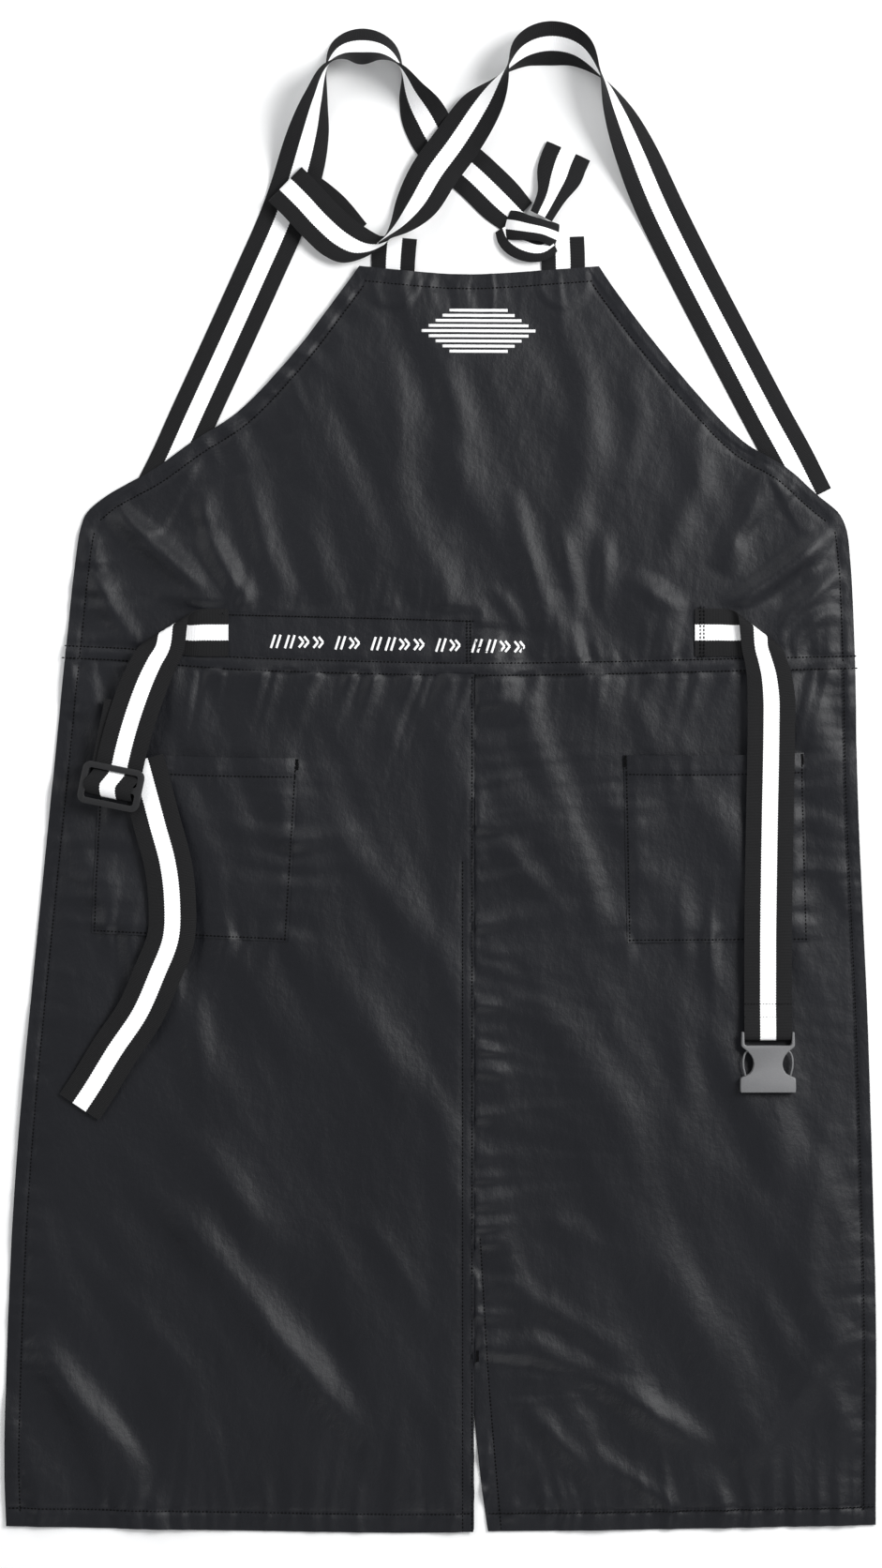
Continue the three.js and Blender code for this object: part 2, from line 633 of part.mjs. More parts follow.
// Right waist strap, down to the buckle
const loopTailY = buckleY + loopTail;
const loopHalf = webThickness + gap / 2;
const rightWaistRoute = [
  [rightPivotX - 4, stubY, strapStart, 0], [rightPivotX + 8, stubY - 5, strapStart, 0],
  [260, waistY + 4, strapStart + 2, 0], [263.6, waistY - 23.5, strapStart + 4, 0], [263.3, waistY - 56, strapFloor, 0],
  [261.8, waistY - 139, strapFloor, 0], [261, waistY - 214, strapFloor, 0], [261, waistY - 242, strapFloor - 0.6, 0],
  [buckleX, loopTailY + gap, barHeight - webThickness / 2, 0],
];
place('right_waist_strap', 'webbing', ribbon(rightWaistRoute, 40));

// Doubled end of the strap, sewn round the buckle's bar: a section in the Y-Z plane, as wide as the webbing
const eyeRadius = barRadius + barClearance;
const eyeOuter = eyeRadius + webThickness;
const loopShape = new THREE.Shape();
loopShape.moveTo(loopTail, -loopHalf);
loopShape.lineTo(loopTail, loopHalf);
loopShape.lineTo(2.6 * eyeOuter, loopHalf);
loopShape.absarc(0, 0, eyeOuter, Math.PI / 3, (5 / 3) * Math.PI);
loopShape.lineTo(2.6 * eyeOuter, -loopHalf);
const eye = new THREE.Path();
eye.absarc(0, 0, eyeRadius, 0, 2 * Math.PI, true);
loopShape.holes.push(eye);
const strapLoop = new THREE.ExtrudeGeometry(loopShape, { depth: tabWidth, bevelEnabled: false, curveSegments: 16 });
strapLoop.rotateX(Math.PI / 2);
strapLoop.rotateZ(Math.PI / 2);
strapLoop.translate(buckleX - tabWidth / 2, buckleY, barHeight);
place('right_strap_end_loop', 'webbing', strapLoop);

// Buckle socket: a flat shell with notched sides, open at the mouth, carried on a round bar between two ears
function buckleOutline() {
  const w = buckleWidth / 2;
  const waist = buckleWaist / 2;
  const shape = new THREE.Shape();
  shape.moveTo(-w, -buckleLength);
  shape.lineTo(w, -buckleLength);
  shape.lineTo(w, -notchBottom);
  shape.quadraticCurveTo(waist, -notchBottom + 2, waist, -notchMiddle);
  shape.quadraticCurveTo(waist, -notchTop - 3, w, -notchTop);
  shape.lineTo(w, 0);
  shape.lineTo(-w, 0);
  shape.lineTo(-w, -notchTop);
  shape.quadraticCurveTo(-waist, -notchTop - 3, -waist, -notchMiddle);
  shape.quadraticCurveTo(-waist, -notchBottom + 2, -w, -notchBottom);
  return shape;
}
const shellHalf = buckleThickness / 2;
const innerWidth = buckleWidth - 2 * buckleEar;
const shellBlock = toSolid(prism(buckleOutline(), -shellHalf, shellHalf));
const cavityHeight = shellHalf - buckleWall;
const cavityShape = rectangle(0, -buckleLength + cavityDepth / 2 - 1, innerWidth, cavityDepth + 2);
const cavity = toSolid(prism(cavityShape, -cavityHeight, cavityHeight));
const slotShape = rectangle(0, 0, innerWidth, 2 * buckleShoulder);
const strapSlot = toSolid(prism(slotShape, -shellHalf - 1, shellHalf + 1));
// The ears end in half rounds about the bar, so that the buckle can turn above the cloth.
const earRound = new THREE.CylinderGeometry(shellHalf, shellHalf, buckleEar, 24).rotateZ(Math.PI / 2);
const earX = (innerWidth + buckleEar) / 2;
const ears = [-earX, earX].map((x) => toSolid(earRound.clone().translate(x, 0, 0)));
const bar = new THREE.CylinderGeometry(barRadius, barRadius, innerWidth + 1, 16).rotateZ(Math.PI / 2);
const body = shellBlock.subtract(cavity).subtract(strapSlot);
const socket = fromSolid(body.add(ears[0]).add(ears[1]).add(toSolid(bar)));
place('buckle_socket', 'plastic', socket.translate(buckleX, buckleY, barHeight));

export default group;
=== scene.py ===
"""Artist's smock apron in satin nylon, laid out flat with its front up."""
import itertools
import math

import bmesh
import bpy
import numpy as np
from mathutils import Matrix, Vector


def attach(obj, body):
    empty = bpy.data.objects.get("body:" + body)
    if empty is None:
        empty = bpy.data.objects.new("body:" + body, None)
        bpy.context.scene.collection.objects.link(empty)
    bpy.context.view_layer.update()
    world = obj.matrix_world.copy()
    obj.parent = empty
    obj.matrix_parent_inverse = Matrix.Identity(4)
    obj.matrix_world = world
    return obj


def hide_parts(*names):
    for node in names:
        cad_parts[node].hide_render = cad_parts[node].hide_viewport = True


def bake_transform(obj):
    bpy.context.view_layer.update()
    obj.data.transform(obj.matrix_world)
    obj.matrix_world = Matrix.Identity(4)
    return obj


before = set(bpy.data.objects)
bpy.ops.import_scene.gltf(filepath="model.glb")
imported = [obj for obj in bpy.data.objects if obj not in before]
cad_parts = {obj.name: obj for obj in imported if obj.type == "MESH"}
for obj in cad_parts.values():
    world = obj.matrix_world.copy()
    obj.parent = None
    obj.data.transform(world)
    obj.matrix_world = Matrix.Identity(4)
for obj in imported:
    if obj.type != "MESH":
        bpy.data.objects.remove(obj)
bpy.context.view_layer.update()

MM = 0.001
SCENE = bpy.context.scene

# Levels above the surface, in millimetres
CLOTH_FLOOR = 1.7      # underside of the panels, over their hems
CLOTH = 0.45           # thickness of the nylon
HEM_STEP = 0.5         # how much a turned hem lifts the cloth
WEB = 38.0             # webbing width
WEB_THICK = 1.3
STRAP_FLOOR = 9.8      # the waist straps' lower face
SLIDER_FLOOR = 13.3

# Places on the plan, in millimetres
HEM_Y = -505.0
WAIST = 184.0          # the waist straps' routes count from here
TOP = 506.0            # the neck straps' routes count from here
TOP_Y = 507.0
VENT_X = 26.6
CELL = 2.5             # size of a cloth grid cell

# How deep the cloth's waves are
PUCKER = 2.5           # scale of all the seams' puckers
LONG_WAVE = 2.7
SHORT_WAVE = 1.05
RIPPLE = 0.09
LOFT = 1.3             # how far the middle of the cloth stands off its edges
GROOVE = 0.7           # depth of the groove along a stitch row


# ---- Numbers along lines and over surfaces (all in millimetres)

def smooth(t):
    """0 to 1 with level ends."""
    t = np.clip(t, 0.0, 1.0)
    return t * t * (3.0 - 2.0 * t)


def ramp(x, low, high):
    return smooth((np.asarray(x, float) - low) / (high - low))


def spline(points, t):
    """Points on a centripetal Catmull-Rom curve through the rows of points, at shares t from 0 to 1."""
    p = np.asarray(points, float)
    p = np.vstack([2 * p[0] - p[1], p, 2 * p[-1] - p[-2]])
    gaps = np.linalg.norm(np.diff(p[:, :2], axis=0), axis=1)
    knots = np.concatenate([[0], np.cumsum(np.sqrt(gaps) + 1e-6)])
    u = knots[1] + np.asarray(t, float) * (knots[-2] - knots[1])
    i = np.clip(np.searchsorted(knots, u, side="right") - 1, 1, len(p) - 3)
    k = [knots[i + j][:, None] for j in (-1, 0, 1, 2)]
    q = [p[i + j] for j in (-1, 0, 1, 2)]
    u = u[:, None]

    def mix(a, b, ka, kb):
        return (kb - u) / (kb - ka) * a + (u - ka) / (kb - ka) * b

    a = [mix(q[j], q[j + 1], k[j], k[j + 1]) for j in range(3)]
    b = [mix(a[j], a[j + 1], k[j], k[j + 2]) for j in range(2)]
    return mix(b[0], b[1], k[1], k[2])


def run_along(points):
    """Length run from the first point to each point of a polyline."""
    return np.concatenate([[0], np.cumsum(np.linalg.norm(np.diff(points, axis=0), axis=1))])


def tangents(points):
    """Unit direction of a polyline at each of its points."""
    along = np.gradient(points, axis=0)
    return along / np.linalg.norm(along, axis=1)[:, None]


def even_curve(points, step):
    """The curve through the points, resampled evenly: rows as long as a point."""
    fine = spline(points, np.linspace(0, 1, 60 * len(points)))
    run = run_along(fine[:, :3])
    count = max(2, int(round(run[-1] / step)) + 1)
    at = np.linspace(0, run[-1], count)
    return np.stack([np.interp(at, run, fine[:, c]) for c in range(fine.shape[1])], axis=1)


def wander(s, pitch, seed):
    """Smooth random wave between -1 and 1 along s, with about one swing in each pitch."""
    values = np.random.RandomState(seed).uniform(-1, 1, 512)
    place = np.asarray(s, float) / pitch + 37.0
    cell = np.floor(place).astype(int)
    share = smooth(place - cell)
    return values[cell % 512] * (1 - share) + values[(cell + 1) % 512] * share


def drift(x, y, pitch_x, pitch_y, seed):
    """Smooth random field between -1 and 1."""
    values = np.random.RandomState(seed).uniform(-1, 1, (128, 128))
    px, py = np.asarray(x) / pitch_x + 61.0, np.asarray(y) / pitch_y + 53.0
    cx, cy = np.floor(px).astype(int), np.floor(py).astype(int)
    sx, sy = smooth(px - cx), smooth(py - cy)
    row = [values[cx % 128, (cy + j) % 128] * (1 - sx) + values[(cx + 1) % 128, (cy + j) % 128] * sx
           for j in (0, 1)]
    return row[0] * (1 - sy) + row[1] * sy


def along_line(x, y, line):
    """Distance from a polyline, length run along it, and which side (positive on the left of it)."""
    line = np.asarray(line, float)
    best = np.full(np.shape(x), 1e9)
    run_at = np.zeros(np.shape(x))
    side = np.ones(np.shape(x))
    run = 0.0
    for a, b in zip(line[:-1], line[1:]):
        d = b - a
        length = math.hypot(*d)
        t = np.clip(((x - a[0]) * d[0] + (y - a[1]) * d[1]) / length ** 2, 0, 1)
        gap = np.hypot(x - a[0] - t * d[0], y - a[1] - t * d[1])
        nearer = gap < best
        best = np.where(nearer, gap, best)
        run_at = np.where(nearer, run + t * length, run_at)
        side = np.where(nearer, np.sign(d[0] * (y - a[1]) - d[1] * (x - a[0]) + 1e-9), side)
        run += length
    return best, run_at, side, run


# ---- Outline of the cloth

LEFT_EDGE = [(-347.5, -506), (-349, -450), (-346, -330), (-339.5, -210), (-329, -90), (-311, 90), (-301, 190),
             (-292.5, 270), (-287.5, 300), (-283, 310), (-268, 323), (-229, 345), (-197.6, 367.5),
             (-163, 390), (-119.6, 435), (-85, 480), (-64.5, 508)]
RIGHT_EDGE = [(347.6, -506), (347.6, -330), (344.6, -210), (341, -90), (332.8, 90), (331, 190), (327.5, 270),
              (323.8, 298), (317.5, 310), (302, 323), (277, 345), (241, 367.5), (203, 407), (161.6, 457.5),
              (137, 491), (125.6, 508)]
WAIST_LINE = [(-310, 193.5), (-240, 190), (-177, 184.5), (-80, 181), (26, 179), (120, 180), (209, 182),
              (345, 185)]
HEM_LINE = [(-350, -500), (-200, -503), (-23, -505.5), (30, -504.5), (150, -503), (350, -499)]
TOP_LINE = [(-66, 507), (-20, 502.5), (24, 500.5), (80, 503.5), (127, 507)]
RIGHT_VENT = [(37.8, -506), (33, -470), (27, -410), (20.5, -330), (12, -240), (8, -100), (8, 190)]


def edge_x(edge, y):
    """X of an outline's edge at a height."""
    fine = spline(edge, np.linspace(0, 1, 400))
    return np.interp(y, fine[:, 1], fine[:, 0])


def line_y(line, x):
    fine = spline(line, np.linspace(0, 1, 200))
    return np.interp(x, fine[:, 0], fine[:, 1])


# Folds of the cloth as it lies: points along the crest, its half width and its height.
FOLDS = [
    # bib, left armpit
    ([(-268, 318), (-238, 290), (-206, 262), (-176, 236)], 10, 6.8),
    ([(-190, 330), (-188, 300), (-174, 268), (-150, 236)], 9, 5.0),
    ([(-284, 300), (-276, 262), (-262, 230), (-244, 206)], 8, 4.5),
    ([(-252, 322), (-222, 308), (-196, 296), (-176, 300)], 8, -3.5),
    ([(-160, 340), (-150, 312), (-140, 280), (-120, 240)], 10, 3.6),
    ([(-120, 372), (-110, 330), (-100, 290), (-84, 240)], 13, 2.6),
    ([(-230, 246), (-200, 240), (-170, 226)], 7, 3.0),
    # bib, right armpit
    ([(318, 296), (290, 276), (258, 252), (226, 232)], 9, 7.0),
    ([(322, 262), (300, 246), (276, 226), (262, 206)], 8, 5.0),
    ([(262, 348), (252, 322), (240, 292), (224, 262)], 11, 4.5),
    ([(214, 384), (206, 346), (194, 306), (172, 262)], 13, 3.2),
    ([(300, 322), (268, 300), (236, 286)], 10, -3.0),
    ([(316, 236), (296, 222), (280, 200)], 7, 3.4),
    # bib, middle
    ([(10, 470), (8, 420), (14, 350), (6, 280)], 15, 2.6),
    ([(-40, 440), (-34, 380), (-30, 320)], 12, 2.0),
    ([(112, 440), (118, 380), (108, 310), (92, 250)], 15, 3.2),
    ([(150, 430), (156, 380), (146, 330)], 11, 2.2),
    ([(56, 330), (66, 290), (78, 250), (84, 216)], 8, 2.6),
    ([(92, 300), (104, 262), (112, 222)], 7, 2.8),
    ([(132, 300), (130, 262), (128, 226)], 7, 2.6),
    ([(38, 250), (54, 236), (64, 214)], 6, 2.0),
    ([(150, 262), (168, 246), (196, 232)], 8, 2.6),
    # left skirt
    ([(-278, -184), (-222, -240), (-178, -292), (-116, -366), (-58, -428)], 14, 4.2),
    ([(-330, -350), (-286, -402), (-230, -462)], 13, 3.6),
    ([(-300, -262), (-262, -310), (-216, -360), (-172, -410)], 12, 2.2),
    ([(-246, -132), (-206, -190), (-160, -246), (-100, -300)], 15, 2.2),
    ([(-100, -40), (-60, -110), (-20, -170)], 13, 2.0),
    ([(-110, 130), (-80, 60), (-40, 0), (-4, -50)], 13, 1.9),
    ([(-190, -60), (-196, -120), (-190, -180)], 11, 2.0),
    ([(-150, -330), (-90, -400), (-40, -470)], 10, 1.8),
    ([(-60, -250), (-30, -300), (-6, -350)], 9, 2.0),
    # right skirt
    ([(58, -344), (130, -386), (206, -430), (240, -444)], 12, 4.0),
    ([(54, -392), (90, -428), (128, -468)], 9, 3.6),
    ([(326, -336), (288, -392), (236, -458)], 12, 3.6),
    ([(44, -300), (92, -330), (150, -366)], 10, 2.4),
    ([(60, -246), (110, -268), (170, -300)], 12, 1.8),
    ([(50, -60), (100, -110), (140, -170), (170, -240)], 16, 2.0),
    ([(60, 140), (96, 80), (120, 20), (132, -40)], 13, 2.2),
    ([(40, 60), (70, 20), (104, -10)], 9, 1.9),
    ([(180, -60), (196, -130), (190, -200)], 13, 2.0),
    ([(270, -60), (276, -140), (262, -230)], 15, 2.2),
    ([(310, -180), (296, -260), (300, -330)], 12, 2.0),
    ([(120, -440), (170, -474), (196, -494)], 8, 2.6),
]

# Seams that gather the cloth: line, how far the puckers run from it, their pitch and height, and on which
# side of the line they lie (1 left of its direction, -1 right, 0 both).
SEAMS = [
    ([(-346, -491), (-23, -492), (26, -491)], 26, 9, 0.95, 0),
    ([(40, -490), (346, -486)], 26, 9, 1.0, 0),
    ([(-296, 201), (-177, 195), (26, 190), (209, 192), (330, 195)], 17, 8, 0.8, 1),
    ([(-301, 192), (-177, 184), (26, 179), (209, 182), (332, 185)], 24, 10, 0.95, -1),
    ([(25.2, 178), (25.2, -500)], 26, 13, 1.05, 1),
    ([(27.5, 178), (27.5, -260), (37, -500)], 30, 14, 1.2, 1),
    ([(-289, 186), (-317, -90), (-334, -330), (-337, -500)], 14, 9, 0.34, 0),
    ([(322, 180), (332, -90), (339, -330), (339, -500)], 14, 9, 0.34, 0),
    ([(-280, 200), (-276, 300)], 14, 8, 0.6, 0),
    ([(318, 196), (313, 300)], 12, 8, 0.4, 0),
    ([(-268, 312), (-226, 332), (-162, 377), (-112, 424), (-66, 492)], 14, 7.5, 0.75, 0),
    ([(306, 312), (238, 354), (190, 405), (150, 455), (122, 492)], 14, 7.5, 0.75, 0),
    ([(-62, 495), (24, 489), (124, 495)], 14, 7.5, 0.6, 0),
    ([(-272, 118), (-279, -26)], 20, 13, 0.9, 0),
    ([(-114, 113), (-123, -33)], 22, 13, 1.0, 0),
    ([(-279, -26), (-123, -33)], 20, 11, 0.9, 0),
    ([(146, 116), (149, -34)], 22, 13, 1.0, 0),
    ([(290, 118), (294, -33)], 20, 13, 0.9, 0),
    ([(149, -34), (294, -33)], 20, 11, 0.9, 0),
    ([(-176, 228), (26, 223), (26, 190)], 15, 8, 0.7, 0),
]


def near_line(x, y, line, reach):
    """Which points lie within reach of a line's box."""
    line = np.asarray(line, float)
    low, high = line.min(axis=0) - reach, line.max(axis=0) + reach
    return (x > low[0]) & (x < high[0]) & (y > low[1]) & (y < high[1])


def folds_at(x, y):
    """Height of folds, puckers and slow waves."""
    z = np.zeros(np.shape(x))
    for points, half, height in FOLDS:
        line = even_curve(points, 8.0)
        at = near_line(x, y, line, 3 * half)
        gap, run, _, length = along_line(x[at], y[at], line)
        fade = np.sin(np.pi * np.clip(run / length, 0, 1)) ** 0.6
        ends = np.exp(-np.where((run <= 0) | (run >= length), gap, 0) / half)
        z[at] += height * fade * ends * np.exp(-(gap / half) ** 2)
    for i, (line, reach, pitch, height, where) in enumerate(SEAMS):
        at = near_line(x, y, line, 5 * reach)
        gap, run, side, _ = along_line(x[at], y[at], line)
        lean = run + 0.35 * gap * wander(run, 60, 300 + i)
        crest = wander(lean, pitch, 20 + i) + 0.5 * wander(lean, 0.55 * pitch, 60 + i)
        reach_here = reach * (1.0 + 0.5 * wander(run, 1.7 * pitch, 90 + i))
        here = np.exp(-(gap / reach_here)) * np.where((where == 0) | (side == where), 1.0, 0.0)
        z[at] += PUCKER * height * crest * here
    z += LONG_WAVE * drift(x + 0.6 * y, y - 0.5 * x, 38, 140, 7)
    z += SHORT_WAVE * drift(x + 0.45 * y, y - 0.5 * x, 19, 80, 8)
    z += RIPPLE * drift(x - 0.3 * y, y + 0.3 * x, 7, 24, 9)
    return z


def hem_band(x, y):
    """1 inside the turned hems of the skirt and bib, with a step at their stitch line."""
    bottom = 1 - ramp(y - line_y(HEM_LINE, x), 13, 15)
    left = 1 - ramp(x - edge_x(LEFT_EDGE, y), 10.5, 12.5)
    right = 1 - ramp(edge_x(RIGHT_EDGE, y) - x, 8.5, 10.5)
    return np.maximum(np.maximum(bottom, left), right)


def seam_grooves(x, y):
    """Shallow grooves that the stitch rows pull into the cloth."""
    z = np.zeros(np.shape(x))
    for row in CLOTH_ROWS:
        at = near_line(x, y, row, 6)
        gap, _, _, _ = along_line(x[at], y[at], row)
        z[at] -= GROOVE * np.exp(-(gap / 2.1) ** 2)
    return z


def held_down(x, y):
    """1 where the waist straps' ends and the patch hold the cloth flat."""
    out = np.zeros(np.shape(x))
    for x0, x1, y0, y1, rim in ((-236, -174, 190, 233, 8), (204, 268, 190, 233, 8), (-176, 26, 192, 229, 8),
                                (-302, -224, -222, -122, 42)):
        out = np.maximum(out, ramp(x, x0 - rim, x0) * (1 - ramp(x, x1, x1 + rim)) * ramp(y, y0 - rim, y0)
                         * (1 - ramp(y, y1, y1 + rim)))
    return out


def over_straps(x, y):
    """Rise of the bib over the neck straps sewn behind it."""
    z = np.zeros(np.shape(x))
    for line in (((-236, 312), (-200, 382), (-172, 443)), ((300, 312), (262, 384), (231, 443)),
                 ((-38, 494), (-38, 512)), ((98, 494), (98, 512))):
        gap, _, _, _ = along_line(x, y, line)
        z = np.maximum(z, 1.3 * (1 - ramp(gap, 18, 24)))
    return z


def loft(x, y):
    """0 along the cloth's edges, 1 in from them, where it stands a little off the surface."""
    side = np.minimum(x - edge_x(LEFT_EDGE, y), edge_x(RIGHT_EDGE, y) - x)
    ends = np.minimum(y - HEM_Y, TOP_Y - 4 - y)
    return ramp(side, 2, 34) * ramp(ends, 2, 34)


def relief(x, y):
    """Height of the cloth's underside, worked out from every fold and seam."""
    raw = folds_at(x, y) * (1 - 0.8 * held_down(x, y))
    inside = loft(x, y)
    depth = 0.9 + LOFT * inside
    z = CLOTH_FLOOR + LOFT * inside + np.where(raw > 0, raw, depth * np.tanh(raw / depth))
    z += HEM_STEP * hem_band(x, y) + seam_grooves(x, y) + over_straps(x, y)
    return np.maximum(z, 0.5)


def cloth_height(x, y, lapped=False):
    """Height of the cloth's underside, read from the relief chart."""
    x, y = np.asarray(x, float), np.asarray(y, float)
    fx = np.clip((x - CHART_X[0]) / CHART_CELL, 0, len(CHART_X) - 1.001)
    fy = np.clip((y - CHART_Y[0]) / CHART_CELL, 0, len(CHART_Y) - 1.001)
    i, j = fx.astype(int), fy.astype(int)
    sx, sy = fx - i, fy - j
    low = CHART[j, i] * (1 - sx) + CHART[j, i + 1] * sx
    high = CHART[j + 1, i] * (1 - sx) + CHART[j + 1, i + 1] * sx
    z = low * (1 - sy) + high * sy
    if lapped:
        z = z + 1.6 * ramp(x, VENT_X - 40, VENT_X - 18)
    return z


# ---- Stitch rows, as lines on the plan

def offset_edge(edge, inset, low, high, step=12.0):
    """Line inside an outline's edge, between two heights."""
    fine = spline(edge, np.linspace(0, 1, 400))
    fine = fine[(fine[:, 1] >= low) & (fine[:, 1] <= high)]
    d = tangents(fine)
    moved = fine + inset * np.stack([d[:, 1], -d[:, 0]], axis=1)
    return even_curve(moved[:: max(1, len(moved) // 40)], step)


def above(line, x0, x1, lift, steps=14):
    """Points a distance up from a level line."""
    x = np.linspace(x0, x1, steps)
    return np.stack([x, line_y(line, x) + lift], axis=1)


SKIRT_ROWS = [
    above(HEM_LINE, -345, 25, 14.5), above(HEM_LINE, 39, 345, 14.5),
    offset_edge(LEFT_EDGE, 11.5, -490, 190), offset_edge(RIGHT_EDGE, -9.5, -486, 184),
    above(WAIST_LINE, -300, 331, 10.5), above(WAIST_LINE, -302, 332, 0.8),
    [(VENT_X - 1.8, 178), (VENT_X - 1.8, -504)], [(VENT_X - 9.3, 30), (VENT_X - 9.3, -504)],
    [(31.5, -271), (38, -380), (48, -502)],
]
BAND_ROWS = [offset_edge(LEFT_EDGE, 11.5, 196, 296), offset_edge(RIGHT_EDGE, -9.5, 190, 296)]
BIB_ROWS = [offset_edge(LEFT_EDGE, 12, 312, 500), offset_edge(RIGHT_EDGE, -12, 312, 500),
            above(TOP_LINE, -60, 120, -11.5)]
CLOTH_ROWS = SKIRT_ROWS + BAND_ROWS + BIB_ROWS

CHART_CELL = 1.5
CHART_X = np.arange(-356, 357, CHART_CELL)
CHART_Y = np.arange(-512, 516, CHART_CELL)
CHART = relief(*np.meshgrid(CHART_X, CHART_Y))


# ---- Materials

def operator(operation, swapped=False):
    """A shader sum as a method, with its two sides swapped for the reflected form."""
    def act(self, other):
        first, second = (other, self) if swapped else (self, other)
        return self.tree.add("ShaderNodeMath", {"operation": operation}, {0: first, 1: second})
    return act


class Value:
    """A shader socket that takes part in sums."""

    def __init__(self, tree, socket):
        self.tree = tree
        self.socket = socket

    __add__, __radd__ = operator("ADD"), operator("ADD", True)
    __sub__, __rsub__ = operator("SUBTRACT"), operator("SUBTRACT", True)
    __mul__, __rmul__ = operator("MULTIPLY"), operator("MULTIPLY", True)
    __lt__ = operator("LESS_THAN")


class Finish:
    """A material with one Principled surface."""

    def __init__(self, name, **surface):
        self.material = bpy.data.materials.new(name)
        self.material.use_nodes = True
        self.tree = self.material.node_tree
        self.surface = self.tree.nodes["Principled BSDF"]
        self.feed(**{key.replace("_", " "): value for key, value in surface.items()})

    def add(self, kind, settings=None, values=None, out=0):
        node = self.tree.nodes.new(kind)
        for key, value in (settings or {}).items():
            setattr(node, key, value)
        for key, value in (values or {}).items():
            self._put(node.inputs[key], value)
        return Value(self, node.outputs[out])

    def _put(self, socket, value):
        if isinstance(value, Value):
            self.tree.links.new(value.socket, socket)
        else:
            socket.default_value = value

    def feed(self, **values):
        for key, value in values.items():
            self._put(self.surface.inputs[key], value)

    def place(self):
        return self.add("ShaderNodeTexCoord", out="Object")

    def stretched(self, vector, scale):
        return self.add("ShaderNodeMapping", {}, {"Vector": vector, "Scale": scale})

    def noise(self, vector, scale, detail=2.0, rough=0.5):
        return self.add("ShaderNodeTexNoise", {}, {"Vector": vector, "Scale": scale, "Detail": detail,
                                                   "Roughness": rough})

    def blend(self, factor, first, second):
        return self.add("ShaderNodeMix", {"data_type": "RGBA"}, {0: factor, 6: first, 7: second}, out=2)

    def bump(self, height, distance, strength=1.0, normal=None):
        values = {"Height": height, "Distance": distance, "Strength": strength}
        if normal is not None:
            values["Normal"] = normal
        return self.add("ShaderNodeBump", {}, values)


def nylon():
    """Satin nylon: fine crosswise threads, faint crinkles, softly uneven gloss."""
    m = Finish("apron_nylon", IOR=1.45, Specular_IOR_Level=0.42)
    place = m.place()
    threads = m.noise(m.stretched(place, (260.0, 3000.0, 900.0)), 1.0, 1.0)
    warp = m.noise(m.stretched(place, (2600.0, 300.0, 900.0)), 1.0, 1.0)
    crinkle = m.noise(m.stretched(place, (70.0, 48.0, 60.0)), 1.0, 4.0, 0.6)
    cloud = m.noise(place, 9.0, 3.0)
    tone = cloud * 0.6 + threads * 0.25 + warp * 0.15
    colour = m.blend(tone, (0.0018, 0.0022, 0.0040, 1), (0.0050, 0.0056, 0.0090, 1))
    crinkled = m.bump(crinkle, 0.0019, 0.55)
    woven = m.bump(threads * 0.6 + warp * 0.4, 0.00012, 0.5, crinkled)
    m.feed(**{"Base Color": colour, "Roughness": 0.44 + cloud * 0.10 + threads * 0.04, "Normal": woven})
    return m.material


def webbing():
    """Ribbed black webbing with a white stripe down the middle, its edges toothed by the weave."""
    m = Finish("striped_webbing", IOR=1.45, Specular_IOR_Level=0.22)
    uv = m.add("ShaderNodeUVMap", {"uv_map": "web"})
    split = m.tree.nodes.new("ShaderNodeSeparateXYZ")
    m.tree.links.new(uv.socket, split.inputs[0])
    across, along = Value(m, split.outputs[0]), Value(m, split.outputs[1])
    rib = m.add("ShaderNodeMath", {"operation": "SINE"}, {0: along * (2 * math.pi / 0.0011)})
    tooth = m.add("ShaderNodeMath", {"operation": "PINGPONG"}, {0: along * (1 / 0.0011), 1: 1.0})
    off_centre = m.add("ShaderNodeMath", {"operation": "ABSOLUTE"}, {0: across - 0.5})
    white = off_centre + tooth * 0.014 < 0.172
    place = m.place()
    fuzz = m.noise(place, 900.0, 2.0)
    cloud = m.noise(place, 30.0, 2.0)
    # Painted shade: the rib term darkens the black webbing between its ribs; fuzz and cloud add random tone
    rib_shade_and_mottle = rib * 0.25 + fuzz * 0.5 + cloud * 0.25
    dark = m.blend(rib_shade_and_mottle, (0.0050, 0.0050, 0.0055, 1), (0.016, 0.016, 0.017, 1))
    light = m.blend(fuzz * 0.6 + cloud * 0.4, (0.93, 0.93, 0.94, 1), (1.0, 1.0, 1.0, 1))
    m.feed(**{
        "Base Color": m.blend(white, dark, light),
        "Roughness": 0.72 + fuzz * 0.15,
        "Normal": m.bump(rib * 0.5 + fuzz * 0.6, 0.00016, 0.7),
    })
    return m.material


def grained(name, low, high, roughness, spread, gloss, relief, strength, grain, ior=1.45, stretch=None,
            cloud=None):
    """Finish of one fine grain: thread twist, print over weave, or the eroded skin of a moulding."""
    m = Finish(name, IOR=ior, Specular_IOR_Level=gloss)
    place = m.place()
    fine = m.noise(m.stretched(place, stretch) if stretch else place, *grain)
    tone = fine * 0.6 + m.noise(place, cloud, 2.0) * 0.4 if cloud else fine
    m.feed(**{"Base Color": m.blend(tone, low, high), "Roughness": roughness + fine * spread,
              "Normal": m.bump(fine, relief, strength)})
    return m.material


def moulded(name, low, high, roughness):
    return grained(name, low, high, roughness, 0.12, 0.5, 0.00012, 0.6, (1500.0, 2.0), ior=1.5, cloud=60.0)


